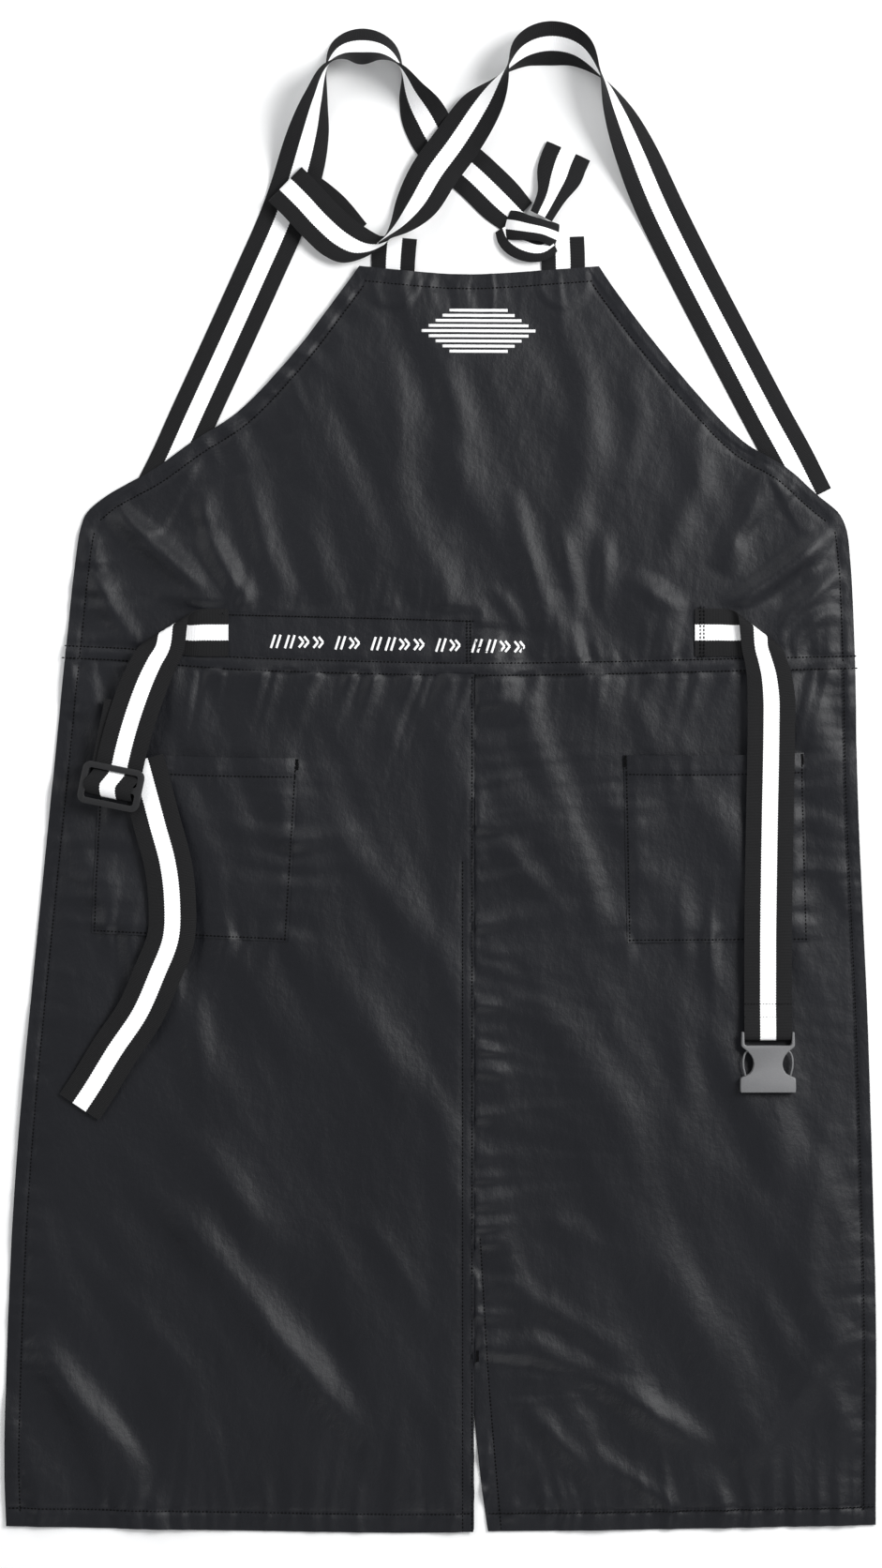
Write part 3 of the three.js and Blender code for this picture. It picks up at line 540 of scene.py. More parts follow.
NYLON = nylon()
WEBBING = webbing()
BUCKLE = moulded("buckle_grey", (0.115, 0.116, 0.12, 1), (0.19, 0.19, 0.195, 1), 0.42)
SLIDER = moulded("slider_black", (0.008, 0.008, 0.009, 1), (0.017, 0.017, 0.018, 1), 0.36)
THREAD = grained("sewing_thread", (0.0012, 0.0012, 0.0014, 1), (0.0045, 0.0045, 0.0050, 1),
                 0.6, 0.15, 0.08, 0.0001, 0.5, (2200.0, 1.0))
INK = grained("transfer_print", (0.88, 0.88, 0.88, 1), (0.98, 0.98, 0.98, 1),
              0.6, 0.15, 0.3, 0.0001, 0.4, (1.0, 2.0), stretch=(300.0, 2400.0, 900.0))


# ---- Meshes

def linked(name, data):
    """New object in the scene."""
    obj = bpy.data.objects.new(name, data)
    SCENE.collection.objects.link(obj)
    return obj


def make_object(name, points, faces, material, smooth_angle=None):
    """Object from points in millimetres."""
    mesh = bpy.data.meshes.new(name)
    mesh.from_pydata([tuple(float(v) * MM for v in p) for p in points], [], faces)
    mesh.validate()
    mesh.materials.append(material)
    mesh.shade_smooth()
    if smooth_angle is not None:
        mesh.set_sharp_from_angle(angle=math.radians(smooth_angle))
    return linked(name, mesh)


def grid_faces(rows, columns, start=0):
    return [(start + r * columns + c, start + r * columns + c + 1, start + (r + 1) * columns + c + 1,
             start + (r + 1) * columns + c) for r in range(rows - 1) for c in range(columns - 1)]


def tube_faces(rings, count):
    """Faces that join rings of count points each."""
    return [(i * count + j, i * count + (j + 1) % count, (i + 1) * count + (j + 1) % count,
             (i + 1) * count + j) for i in range(rings - 1) for j in range(count)]


def with_modifier(obj, kind, **settings):
    """Applies one modifier for good."""
    modifier = obj.modifiers.new(kind.title(), kind)
    for key, value in settings.items():
        setattr(modifier, key, value)
    return baked(obj)


def baked(obj):
    """The object with its modifiers made into its own mesh."""
    graph = bpy.context.evaluated_depsgraph_get()
    mesh = bpy.data.meshes.new_from_object(obj.evaluated_get(graph))
    obj.modifiers.clear()
    old = obj.data
    obj.data = mesh
    bpy.data.meshes.remove(old)
    return obj


def cloth_from(name, x, y, z, thickness=CLOTH):
    """Sheet of cloth from grids of its underside, thickened upwards."""
    rows, columns = x.shape
    points = np.stack([x, y, z], axis=-1).reshape(-1, 3)
    obj = make_object(name, points, grid_faces(rows, columns), NYLON)
    with_modifier(obj, "SOLIDIFY", thickness=thickness * MM, offset=1.0, use_even_offset=False)
    obj.data.set_sharp_from_angle(angle=math.radians(60))
    return obj


def panel_grid(left, right, bottom, top):
    """Grids of x and y between two side edges and a bottom and a top line."""
    y_low = float(np.mean([p[1] for p in bottom]))
    y_high = float(np.mean([p[1] for p in top]))
    rows = int((y_high - y_low) / CELL) + 1
    level = np.linspace(y_low, y_high, rows)
    x_left, x_right = edge_x(left, level), edge_x(right, level)
    columns = int(np.max(x_right - x_left) / CELL) + 1
    u = np.linspace(0, 1, columns)[None, :]
    v = np.linspace(0, 1, rows)[:, None]
    x = x_left[:, None] * (1 - u) + x_right[:, None] * u
    for _ in range(3):
        y = level[:, None] + (line_y(bottom, x) - y_low) * (1 - v) ** 3 + (line_y(top, x) - y_high) * v ** 3
        x = edge_x(left, y) * (1 - u) + edge_x(right, y) * u
    return x, y


def shift_line(line, dy):
    """A line moved up the plan."""
    return [(x, y + dy) for x, y in line]


# ---- Webbing

def ribbon_frames(route, step=3.0, across=None):
    """Centres, across and out vectors and half widths along a route of [x, y, lift, roll, share] points.
    lift is the height of the lower edge, roll turns the webbing about its own line in degrees."""
    full = [list(p) + [0.0, 1.0][len(p) - 3:] for p in route]
    line = even_curve(full, step)
    centre = line[:, :3].copy()
    half = WEB / 2 * line[:, 4]
    sides, outs = [], []
    for i, t in enumerate(tangents(centre)):
        side = Vector(across) if across is not None else Vector((-t[1], t[0], 0)).normalized()
        side = Matrix.Rotation(math.radians(line[i, 3]), 3, Vector(t)) @ side
        out = Vector(t).cross(side).normalized()
        if across is None:
            centre[i, 2] += half[i] * abs(side.z) + WEB_THICK / 2 * abs(out.z)
        sides.append(side)
        outs.append(out)
    return centre, np.array(sides), np.array(outs), half


def web_strip(name, centre, sides, outs, half, bow=0.5, columns=11, moved=None):
    """Webbing along given frames, as a closed strip with rounded selvedges.
    moved, if given, turns plan places and heights over the webbing's middle into places in space.
    The UV map counts in webbing widths and metres."""
    run = run_along(centre)
    u = 0.5 - 0.5 * np.cos(np.linspace(0.06, 0.94, columns) * math.pi)
    u = (u - u[0]) / (u[-1] - u[0])
    thin = np.clip(np.minimum(u, 1 - u) * 14, 0.35, 1.0) * WEB_THICK / 2
    arch = bow * (1 - (2 * u - 1) ** 2)
    across = np.concatenate([u, u[::-1]])
    height = np.concatenate([arch + thin, (arch - thin)[::-1]])
    count = len(across)
    flat = centre[:, None, :] + sides[:, None, :] * (half[:, None] * (2 * across - 1)[None, :])[:, :, None]
    if moved is None:
        points = (flat + outs[:, None, :] * height[None, :, None]).reshape(-1, 3)
    else:
        points = moved(flat, np.broadcast_to(height[None, :], flat.shape[:2])).reshape(-1, 3)
    uvs = np.stack(np.broadcast_arrays(across[None, :], (run * MM)[:, None]), axis=-1).reshape(-1, 2)
    faces = tube_faces(len(centre), count)
    last = (len(centre) - 1) * count
    for start in (0, last):
        faces += [(start + j, start + j + 1, start + count - 2 - j, start + count - 1 - j)
                  for j in range(count // 2 - 1)]
    obj = make_object(name, points, faces, WEBBING, 50)
    layer = obj.data.uv_layers.new(name="web")
    for loop in obj.data.loops:
        layer.data[loop.index].uv = uvs[loop.vertex_index]
    outward(obj)
    return obj, run[-1] * MM


def ribbon(name, route, across=None, bow=0.5, step=2.5):
    centre, sides, outs, half = ribbon_frames(route, step, across)
    obj, length = web_strip(name, centre, sides, outs, half, bow)
    return obj, centre, length


def reflected(point, line_point, line_dir, extra=0.0):
    """A plan point mirrored over a fold line, and pushed extra millimetres further from it."""
    line_dir = np.asarray(line_dir, float) / math.hypot(*line_dir)
    rel = np.asarray(point, float) - line_point
    foot = line_point + line_dir * np.dot(rel, line_dir)
    away = foot - point
    gap = np.linalg.norm(away)
    if gap < 1e-6:
        return foot
    return foot + away / gap * (gap + extra)


def mitred(name, stub, after, fold_point, fold_dir, radius, base, lift, bar=None, bow=0.4):
    """Webbing that runs flat along stub, folds over a slanting line and runs on along after.
    stub and after hold [x, y, share] plan points; base is the stub's middle level, and lift adds height.
    bar, if given, is (y, z, radius): the webbing goes over a crosswise bar and comes back underneath."""
    fold_point = np.asarray(fold_point, float)
    fold_dir = np.asarray(fold_dir, float) / math.hypot(*fold_dir)
    out_dir = np.array([-fold_dir[1], fold_dir[0]])
    if out_dir[1] < 0:
        out_dir = -out_dir
    arc = math.pi * radius
    unfolded = [[x, y, 0.0, 0.0, share] for x, y, share in stub]
    for x, y, share in after:
        u, v = reflected((x, y), fold_point, fold_dir, arc)
        unfolded.append([u, v, 0.0, 0.0, share])
    centre, sides, outs, half = ribbon_frames(unfolded, 2.0)
    centre[:, 2] = 0.0
    run = run_along(centre)
    rise = np.interp(run, *zip(*lift))

    def fold_over(flat, height):
        """Bends plan places over the slanting fold, then round the bar."""
        rel = flat[..., :2] - fold_point
        d = rel @ out_dir
        foot = flat[..., :2] - d[..., None] * out_dir
        turn = np.clip(d / radius, 0, math.pi)
        beyond = np.maximum(d - arc, 0)
        near = np.minimum(d, 0)
        reach = radius - height
        plan = foot + out_dir * (near + reach * np.sin(turn) - beyond)[..., None]
        z = base + radius - reach * np.cos(turn) + rise[:, None]
        if bar is not None:
            bar_y, bar_z, bar_radius = bar
            past = np.maximum(bar_y - plan[..., 1], 0) * (turn > 3)
            swing = np.clip(past / bar_radius, 0, math.pi)
            under = past - math.pi * bar_radius
            reach = bar_radius + np.where(turn > math.pi / 2, -height, height)
            wrapped_z = bar_z + reach * np.cos(swing)
            wrapped_y = bar_y - reach * np.sin(swing) + np.maximum(under, 0)
            pinch = 1 - smooth(np.maximum(under, 0) / 16.0) * 0.72
            wrapped_z = bar_z + (wrapped_z - bar_z) * pinch
            on_bar = past > 0
            plan[..., 1] = np.where(on_bar, wrapped_y, plan[..., 1])
            z = np.where(on_bar, wrapped_z, z)
        return np.concatenate([plan, z[..., None]], axis=-1)

    obj, length = web_strip(name, centre, sides, outs, half, bow, moved=fold_over)
    line = fold_over(centre[:, None, :], np.zeros((len(centre), 1)))[:, 0, :]
    return obj, line, length


def outward(obj):
    """Turns a closed mesh's faces outwards."""
    work = bmesh.new()
    work.from_mesh(obj.data)
    bmesh.ops.recalc_face_normals(work, faces=work.faces)
    work.to_mesh(obj.data)
    work.free()


def settled(obj, body, *nodes):
    """Puts a piece on a body, in place of CAD nodes if any are named."""
    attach(obj, body)
    if nodes:
        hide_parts(*nodes)
    return obj


# ---- Stitches, made by one geometry tree

def stitch_tree():
    """Polyline to a row of stitches: thread capsules at an even pitch, each a little uneven."""
    tree = bpy.data.node_groups.new("stitch_rows", "GeometryNodeTree")
    face = tree.interface
    face.new_socket("Geometry", in_out="INPUT", socket_type="NodeSocketGeometry")
    for name, kind, value in (("Pitch", "NodeSocketFloat", 0.003), ("Length", "NodeSocketFloat", 0.0023),
                              ("Width", "NodeSocketFloat", 0.0008), ("Seed", "NodeSocketInt", 5),
                              ("Thread", "NodeSocketMaterial", None)):
        socket = face.new_socket(name, in_out="INPUT", socket_type=kind)
        if value is not None:
            socket.default_value = value
    face.new_socket("Geometry", in_out="OUTPUT", socket_type="NodeSocketGeometry")
    new, link = tree.nodes.new, tree.links.new
    given, result = new("NodeGroupInput"), new("NodeGroupOutput")
    curve = new("GeometryNodeMeshToCurve")
    sample = new("GeometryNodeResampleCurve")
    sample.mode = "LENGTH"
    ball = new("GeometryNodeMeshIcoSphere")
    ball.inputs["Subdivisions"].default_value = 1
    ball.inputs["Radius"].default_value = 0.5
    size = new("ShaderNodeCombineXYZ")
    shape = new("GeometryNodeTransform")
    tangent = new("GeometryNodeInputTangent")
    align = new("FunctionNodeAlignRotationToVector")
    align.axis = "X"
    jitter = new("FunctionNodeRandomValue")
    jitter.data_type = "FLOAT"
    jitter.inputs[2].default_value = 0.85
    jitter.inputs[3].default_value = 1.12
    place = new("GeometryNodeInstanceOnPoints")
    real = new("GeometryNodeRealizeInstances")
    finish = new("GeometryNodeSetMaterial")
    for source, out, target, into in (
            (given, "Geometry", curve, "Mesh"), (curve, "Curve", sample, "Curve"),
            (given, "Pitch", sample, "Length"), (given, "Length", size, "X"),
            (given, "Width", size, "Y"), (given, "Width", size, "Z"),
            (ball, "Mesh", shape, "Geometry"), (size, "Vector", shape, "Scale"),
            (given, "Seed", jitter, "Seed"), (sample, "Curve", place, "Points"),
            (shape, "Geometry", place, "Instance"), (tangent, "Tangent", align, "Vector"),
            (align, "Rotation", place, "Rotation"), (jitter, 1, place, "Scale"),
            (place, "Instances", real, "Geometry"), (real, "Geometry", finish, "Geometry"),
            (given, "Thread", finish, "Material"), (finish, "Geometry", result, "Geometry")):
        link(source.outputs[out], target.inputs[into])
    return tree


STITCHES = stitch_tree()


def stitched(name, lines, pitch=3.0, length=2.4, width=1.25, seed=5):
    """One object of stitches along lines of 3-D points in millimetres."""
    points, edges = [], []
    for line in lines:
        start = len(points)
        points.extend(tuple(float(v) * MM for v in p) for p in line)
        edges.extend((start + i, start + i + 1) for i in range(len(line) - 1))
    mesh = bpy.data.meshes.new(name)
    mesh.from_pydata(points, edges, [])
    obj = linked(name, mesh)
    modifier = obj.modifiers.new("Stitches", "NODES")
    modifier.node_group = STITCHES
    ids = {s.name: s.identifier for s in STITCHES.interface.items_tree if s.in_out == "INPUT"}
    for socket, value in (("Pitch", pitch * MM), ("Length", length * MM), ("Width", width * MM),
                          ("Seed", seed), ("Thread", THREAD)):
        modifier[ids[socket]] = value
    return baked(obj)


# ---- Camera and light

def aim(obj, target):
    direction = Vector(target) - obj.location
    obj.rotation_euler = direction.to_track_quat("-Z", "Y").to_euler()


def camera():
    data = bpy.data.cameras.new("above")
    height, long_side = 3.5, 1.254
    data.sensor_width = 36.0
    data.lens = 36.0 * height / long_side
    SCENE.camera = linked("above", data)
    SCENE.camera.location = (0.0, 0.093, height)


def light(name, place, target, size, power):
    data = bpy.data.lights.new(name, "AREA")
    data.shape = "RECTANGLE"
    data.size, data.size_y = size
    data.energy = power
    obj = linked(name, data)
    obj.location = place
    aim(obj, target)


def studio():
    world = bpy.data.worlds.new("studio")
    world.use_nodes = True
    sky = world.node_tree.nodes["Background"].inputs
    sky["Color"].default_value = (0.94, 0.97, 1.0, 1)
    sky["Strength"].default_value = 0.22
    SCENE.world = world
    SCENE.view_settings.view_transform = "Standard"
    light("key", (1.8, 0.95, 1.95), (0.0, -0.05, 0), (1.3, 1.3), 80)
    light("left fill", (-2.4, 0.4, 1.5), (0, 0, 0), (1.8, 1.8), 24)
    light("foot fill", (0.2, -2.6, 1.5), (0, -0.1, 0), (2.0, 1.6), 26)
    light("head fill", (-0.5, 2.8, 1.6), (0, 0.1, 0), (2.0, 1.6), 28)
    floor = Finish("paper_floor", Roughness=0.9, Specular_IOR_Level=0.1)
    grain = floor.noise(floor.place(), 40.0, 2.0)
    floor.feed(**{"Base Color": floor.blend(grain, (0.93, 0.93, 0.93, 1), (0.95, 0.95, 0.95, 1))})
    corners = [(4000 * x, 4000 * y, 0) for x, y in ((-1, -1), (1, -1), (1, 1), (-1, 1))]
    plane = make_object("paper_floor", corners, [(0, 1, 2, 3)], floor.material)


camera()
studio()

# ---- Neck straps, tabs, bow and knot

def measured_from(level, route):
    """A route whose Y places count from a level."""
    return [[x, level + y, *rest] for x, y, *rest in route]


LEFT_NECK = measured_from(TOP, [
    (-229, -185, 0.1, 0), (-213, -153, 0.1, 0), (-200, -124, 0, 0), (-172, -63, 0, 0),
    (-145, -3.5, 0, 0), (-128, 35, 0, 0), (-115, 71, 0.2, 6), (-105.5, 106, 0.2, 34),
    (-99.4, 132, 0.2, 62), (-92, 157, 0.2, 90),
    (-79, 171.5, 0.2, 130), (-63, 175, 0.2, 147), (-46, 171.5, 0.2, 130), (-32, 158, 0.2, 94),
    (-22.5, 135, 0.2, 52), (-13, 118, 0.2, 16), (-3, 101, 0.2, 2), (29.6, 71, 0.2, 0), (48, 53, 0.2, 0),
    (62, 40, 0.2, 0, 0.85)])
RIGHT_NECK = measured_from(TOP, [
    (295, -185, 0.1, 0), (279, -153, 0.1, 0), (262, -122, 0, 0), (231, -63, 0, 0),
    (200, -3.5, 0, 0), (173.6, 49.8, 0, 4), (155, 92, 0.2, 24), (140.6, 124, 0.2, 50),
    (127, 151, 0.2, 86), (108, 172, 0.2, 130),
    (88, 177.5, 0.2, 147), (69, 172, 0.2, 130), (51, 154, 0.4, 84), (32, 127, 6.5, 28), (12, 98, 7, 4),
    (-5, 75, 6, 4), (-19, 50, 4.4, 24), (-32, 32, 3.6, 54, 0.9), (-43, 22, 3.4, 76, 0.7),
    (-50, 17, 3.4, 84, 0.6)])
BOW = measured_from(TOP, [
    (-44, 19, 6.5, 0, 0.34), (-54, 15, 7.5, 0, 0.62), (-66, 15, 8, 0, 0.9), (-80, 22, 8.5, 0, 1),
    (-96, 36, 9.5, 0, 1), (-110, 51, 11, 0, 1), (-119, 60, 11.5, 0, 1), (-124, 65, 9.5, 0, 1),
    (-124.5, 66, 6, 0, 1),
    (-120, 64, 3.2, 0, 1), (-108, 57, 2.3, 0, 1), (-90, 42, 2.3, 0, 1), (-70, 24, 2.3, 0, 0.8)])
BOW_ACROSS = (0.70, 0.71, 0.0)
KNOT_TAIL = measured_from(TOP, [
    (80, 40, 8, 0, 0.5), (88, 56, 6, 0, 0.62), (94, 72, 3.5, 0, 0.95), (98, 84, 2, 0), (102, 93, 1.4, 0)])


def tab(name, x, lean):
    """Folded webbing tab that stands out from behind the bib's top edge."""
    route = [(x, TOP - 10, 0.1, 0, 0.9), (x + lean * 0.3, TOP + 8, 0.4, 0, 0.92),
             (x + lean, TOP + 24, 1.0, 0, 0.92)]
    obj, _, _ = ribbon(name, route, bow=0.2)
    return obj


def knot():
    """Overhand knot: one turn of webbing drawn over the strap, and its lower lobe."""
    x, y = 74.0, TOP + 31
    over = [(x - 21, y + 3, 2.5, 0, 0.62), (x - 15, y + 1.5, 8.5, 0, 0.62), (x - 4, y - 1, 12.5, 0, 0.52),
            (x + 7, y - 3, 12, 0, 0.46), (x + 14, y - 5, 7.5, 0, 0.5), (x + 18, y - 6, 2.5, 0, 0.5)]
    turn, _, _ = ribbon("neck_knot_turn", over, across=(0.25, 0.97, 0), bow=1.2)
    low = [(x - 22, y + 1, 1.5, 0, 0.5), (x - 17, y - 8, 3.5, 0, 0.62), (x - 6, y - 15, 5, 0, 0.62),
           (x + 6, y - 17, 5, 0, 0.5), (x + 15, y - 12, 2.5, 0, 0.4)]
    lobe, _, _ = ribbon("neck_knot_lobe", low, bow=1.5)
    return turn, lobe


left_tab = tab("left_tab_webbing", -38.6, 2)
right_tab = tab("right_tab_webbing", 97.9, -1)
knot_pieces = knot()
tail_piece, _, _ = ribbon("knot_end_webbing", KNOT_TAIL, bow=1.0)
bow_piece, _, _ = ribbon("bow_webbing", BOW, across=BOW_ACROSS, bow=0.3)
left_neck, left_line, left_length = ribbon("left_neck_webbing", LEFT_NECK)
right_neck, right_line, right_length = ribbon("right_neck_webbing", RIGHT_NECK)
for piece, nodes in ((left_tab, ["left_tab_loop"]), (right_tab, ["right_tab_loop"]),
                     (knot_pieces[0], ["neck_knot"]), (knot_pieces[1], []), (tail_piece, ["knot_tail"]),
                     (bow_piece, ["neck_strap_bow"]), (left_neck, ["left_neck_strap"]),
                     (right_neck, ["right_neck_strap"])):
    settled(piece, "bib", *nodes)

# ---- Waist straps, slider and buckle

slider_turn = math.radians(-11.5)
slider_place = Vector((-262.9, WAIST - 93.0))
TAIL = measured_from(WAIST, [
    (-240, -72, STRAP_FLOOR, 0), (-234, -94, STRAP_FLOOR, 0), (-226, -124, STRAP_FLOOR, 0),
    (-218, -154, STRAP_FLOOR, 0), (-214.5, -184, STRAP_FLOOR, 0), (-215.6, -214, STRAP_FLOOR, 0),
    (-227, -244, STRAP_FLOOR, 0), (-240.4, -274, 7.6, 0), (-260.6, -304, 6.0, 0), (-279, -334, 5.4, 0),
    (-289, -349, 5.2, 0)])
left_waist, _, _ = mitred(
    "left_waist_webbing",
    stub=[(-170, 214, 1), (-190, 214, 1), (-204, 214, 0.95)],
    after=[(-221.5, 203, 0.88), (-228.5, 190, 0.93), (-235.5, 175, 0.98), (-243, 155, 1), (-249, 136, 1),
           (-253.3, 120, 1), (-256.4, 106.5, 1)],
    fold_point=(-216, 214), fold_dir=(-0.85, -0.527), radius=4.3, base=4.4,
    lift=[(0, 0), (60, 0), (90, 0.6), (140, 1.6), (170, 0.8)])
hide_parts("left_waist_strap", "left_strap_stub")
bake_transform(left_waist)

right_waist, right_waist_line, right_waist_length = mitred(
    "right_waist_webbing",
    stub=[(203, 214, 1), (222, 214, 1), (240, 214, 0.96)],
    after=[(255.5, 203, 0.82), (258.5, 192, 0.86), (261.5, 180, 0.93), (263.5, 162, 1), (263.6, 140, 1),
           (263.2, 110, 1), (262.4, 70, 1), (261.6, 20, 1), (261, -30, 1), (261, -70, 1), (261, -108, 1),
           (261, -134, 1)],
    fold_point=(251, 214), fold_dir=(0.793, -0.608), radius=3.3, base=4.4,
    lift=[(0, 0), (60, 0), (80, -0.3), (110, -0.55), (320, -0.55), (336, -1.4), (350, -2.2), (362, -1.2),
          (374, 0.5), (390, 0.5)],
    bar=(-108, 8.1, 3.4))
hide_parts("right_waist_strap", "right_strap_stub", "right_strap_end_loop")
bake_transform(right_waist)
waist_tail, waist_tail_line, waist_tail_length = ribbon("waist_tail_webbing", TAIL)
settled(waist_tail, "slider", "left_strap_tail")


# ---- Slider and buckle

def plate(name, outline, low, high, material, holes=(), bevel=0.8, turn=0.0, place=(0, 0)):
    """Flat moulded plate with rounded edges: an outline with holes, in millimetres, between two heights."""
    work = bmesh.new()
    edges = []
    for loop in (outline, *holes):
        ring = [work.verts.new((x, y, low)) for x, y in loop]
        edges += [work.edges.new((ring[i - 1], ring[i])) for i in range(len(ring))]
    bmesh.ops.triangle_fill(work, edges=edges, use_beauty=True)
    bmesh.ops.dissolve_limit(work, angle_limit=0.01, verts=work.verts, edges=work.edges)
    solid = bmesh.ops.extrude_face_region(work, geom=list(work.faces))
    lid = [v for v in solid["geom"] if isinstance(v, bmesh.types.BMVert)]
    bmesh.ops.translate(work, vec=(0, 0, high - low), verts=lid)
    bmesh.ops.recalc_face_normals(work, faces=work.faces)
    bmesh.ops.rotate(work, cent=(0, 0, 0), matrix=Matrix.Rotation(turn, 3, "Z"), verts=work.verts)
    bmesh.ops.translate(work, vec=(*place, 0), verts=work.verts)
    bmesh.ops.scale(work, vec=(MM, MM, MM), verts=work.verts)
    mesh = bpy.data.meshes.new(name)
    work.to_mesh(mesh)
    work.free()
    mesh.materials.append(material)
    mesh.shade_smooth()
    obj = linked(name, mesh)
    with_modifier(obj, "BEVEL", width=bevel * MM, segments=3, limit_method="ANGLE",
                  angle_limit=math.radians(35))
    obj.data.set_sharp_from_angle(angle=math.radians(45))
    return obj


def rounded(width, height, radius, x=0.0, y=0.0, steps=6):
    """Rounded rectangle about (x, y)."""
    points = []
    for k, (sx, sy) in enumerate(((1, 1), (-1, 1), (-1, -1), (1, -1))):
        for i in range(steps + 1):
            angle = math.pi / 2 * (k + i / steps)
            points.append((x + sx * (width / 2 - radius) + radius * math.cos(angle),
                           y + sy * (height / 2 - radius) + radius * math.sin(angle)))
    return points


slider = plate("slider", rounded(50, 34, 6.5), SLIDER_FLOOR, SLIDER_FLOOR + 4.2, SLIDER,
               holes=[rounded(39.6, 9.6, 2, 0, 7.3), rounded(39.6, 9.6, 2, 0, -7.3)], bevel=1.1,
               turn=slider_turn, place=slider_place)
settled(slider, "slider", "slider_frame")

SLIDER_LOOP = [(2.6, 13.5, 0.2), (2.2, 10, 2.4), (0, 5.5, 5.1), (-2.4, 1, 5.6), (-2.4, -2.4, 5.3),
               (-1.2, -6.5, 3.4), (0, -8.8, 0.9), (0, -7.4, -0.75), (0, -3, -0.95), (0, 17, -0.95),
               (0, 68, -0.95)]
turned = Matrix.Rotation(slider_turn, 3, "Z")
loop_route = []
for x, y, z in SLIDER_LOOP:
    spot = turned @ Vector((x, y, 0))
    loop_route.append((slider_place.x + spot.x, slider_place.y + spot.y, SLIDER_FLOOR + z))
loop_line = even_curve(loop_route, 1.0)
loop_side = np.tile(np.array(turned @ Vector((1, 0, 0))), (len(loop_line), 1))
loop_out = np.cross(tangents(loop_line), loop_side)
slider_web, _ = web_strip("slider_webbing", loop_line, loop_side, loop_out,
                          np.full(len(loop_line), WEB / 2), bow=0.0)
settled(slider_web, "slider", "slider_loop")

BUCKLE_X, BUCKLE_Y, BAR_Z = 261.0, -108.0, 8.1
SIDE = [(-22, -45), (-22.2, -40), (-22, -33.6), (-20.2, -32.6), (-17.2, -31.4), (-14.4, -29.8),
        (-12.7, -27.4), (-11.7, -24.6), (-11.4, -21.8), (-12, -18.6), (-13.5, -15.4), (-16, -12.5),
        (-18.8, -10.3), (-20.9, -8.6), (-21.3, -7), (-21, 3.4), (-19.2, 3.4), (-18.9, -6.2), (-17.6, -7.6)]
OUTLINE = [(-x, y) for x, y in SIDE] + SIDE[::-1]
GUARD = [(14.6, -10.6), (18.2, -13.8), (19.6, -19), (19.5, -25), (18.0, -31.6)]


def hollowed(obj, low, high):
    """Takes a box out of a piece."""
    corners = [(x, y, z) for x in (low[0], high[0]) for y in (low[1], high[1]) for z in (low[2], high[2])]
    quads = [(0, 1, 3, 2), (4, 6, 7, 5), (0, 4, 5, 1), (2, 3, 7, 6), (0, 2, 6, 4), (1, 5, 7, 3)]
    cutter = make_object("cutter", corners, quads, BUCKLE)
    outward(cutter)
    with_modifier(obj, "BOOLEAN", object=cutter, operation="DIFFERENCE", solver="EXACT")
    bpy.data.objects.remove(cutter)


buckle = plate("buckle", OUTLINE, BAR_Z - 4.9, BAR_Z + 4.9, BUCKLE, bevel=0.9, place=(BUCKLE_X, BUCKLE_Y))
hollowed(buckle, (BUCKLE_X - 18.6, BUCKLE_Y - 60, BAR_Z - 2.7), (BUCKLE_X + 18.6, BUCKLE_Y - 16, BAR_Z + 2.7))
settled(buckle, "buckle", "buckle_socket")


def rod(name, points, radius, sides=12):
    """Round bar of the buckle's plastic along points, closed at its ends."""
    points = np.asarray(points, float)
    rings = []
    for p, t in zip(points, tangents(points)):
        u = Vector(t).cross(Vector((0, 0, 1))).normalized()
        v = u.cross(Vector(t))
        rings += [tuple(p + radius * (math.cos(a) * np.array(u) + math.sin(a) * np.array(v)))
                  for a in np.linspace(0, 2 * math.pi, sides, endpoint=False)]
    count = len(points)
    faces = tube_faces(count, sides)
    faces += [tuple(range(sides)), tuple(range((count - 1) * sides, count * sides))]
    obj = make_object(name, rings, faces, BUCKLE, 40)
    outward(obj)
    return obj


bar_ends = [(BUCKLE_X + side * 19.6, BUCKLE_Y, BAR_Z) for side in (-1, 1)]
settled(rod("buckle_bar", bar_ends, 2.1), "buckle")
for side, name in ((-1, "left"), (1, "right")):
    arm = even_curve([(BUCKLE_X + side * x, BUCKLE_Y + y, BAR_Z + 1.2) for x, y in GUARD], 1.0)
    settled(rod(f"buckle_{name}_guard", arm, 0.75, 10), "buckle")

# ---- Cloth

def bib_height(x, y):
    """The bib's cloth: as the skirt's, over the seam's turned edges."""
    return cloth_height(x, y) + 0.5 * (1 - ramp(y - line_y(WAIST_LINE, x), 9.5, 12))


def lap_height(x, y):
    return cloth_height(x, y, lapped=True)


def on_bib(obj):
    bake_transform(obj)


def on_skirt(obj):
    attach(obj, "skirt")


def band(name, outer, inner, surface, rides, replaced, drop=0.07, thick=0.4, columns=6):
    """Strip of cloth between two plan lines, drop under a cloth surface, or over it if drop is negative."""
    outer = even_curve(outer, 3.0)
    u = np.linspace(0, 1, len(outer))
    inner = spline(inner, np.linspace(0, 1, 400))
    run = run_along(inner)
    inner = np.stack([np.interp(u * run[-1], run, inner[:, c]) for c in (0, 1)], axis=1)
    v = np.linspace(0, 1, columns)[None, :, None]
    plan = outer[:, None, :] * (1 - v) + inner[:, None, :] * v
    top = surface(plan[..., 0], plan[..., 1]) - drop
    low = np.maximum(top - thick, 0.04) if drop > 0 else top
    obj = cloth_from(name, plan[..., 0], plan[..., 1], low, thick)
    rides(obj)
    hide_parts(*replaced)
    return obj


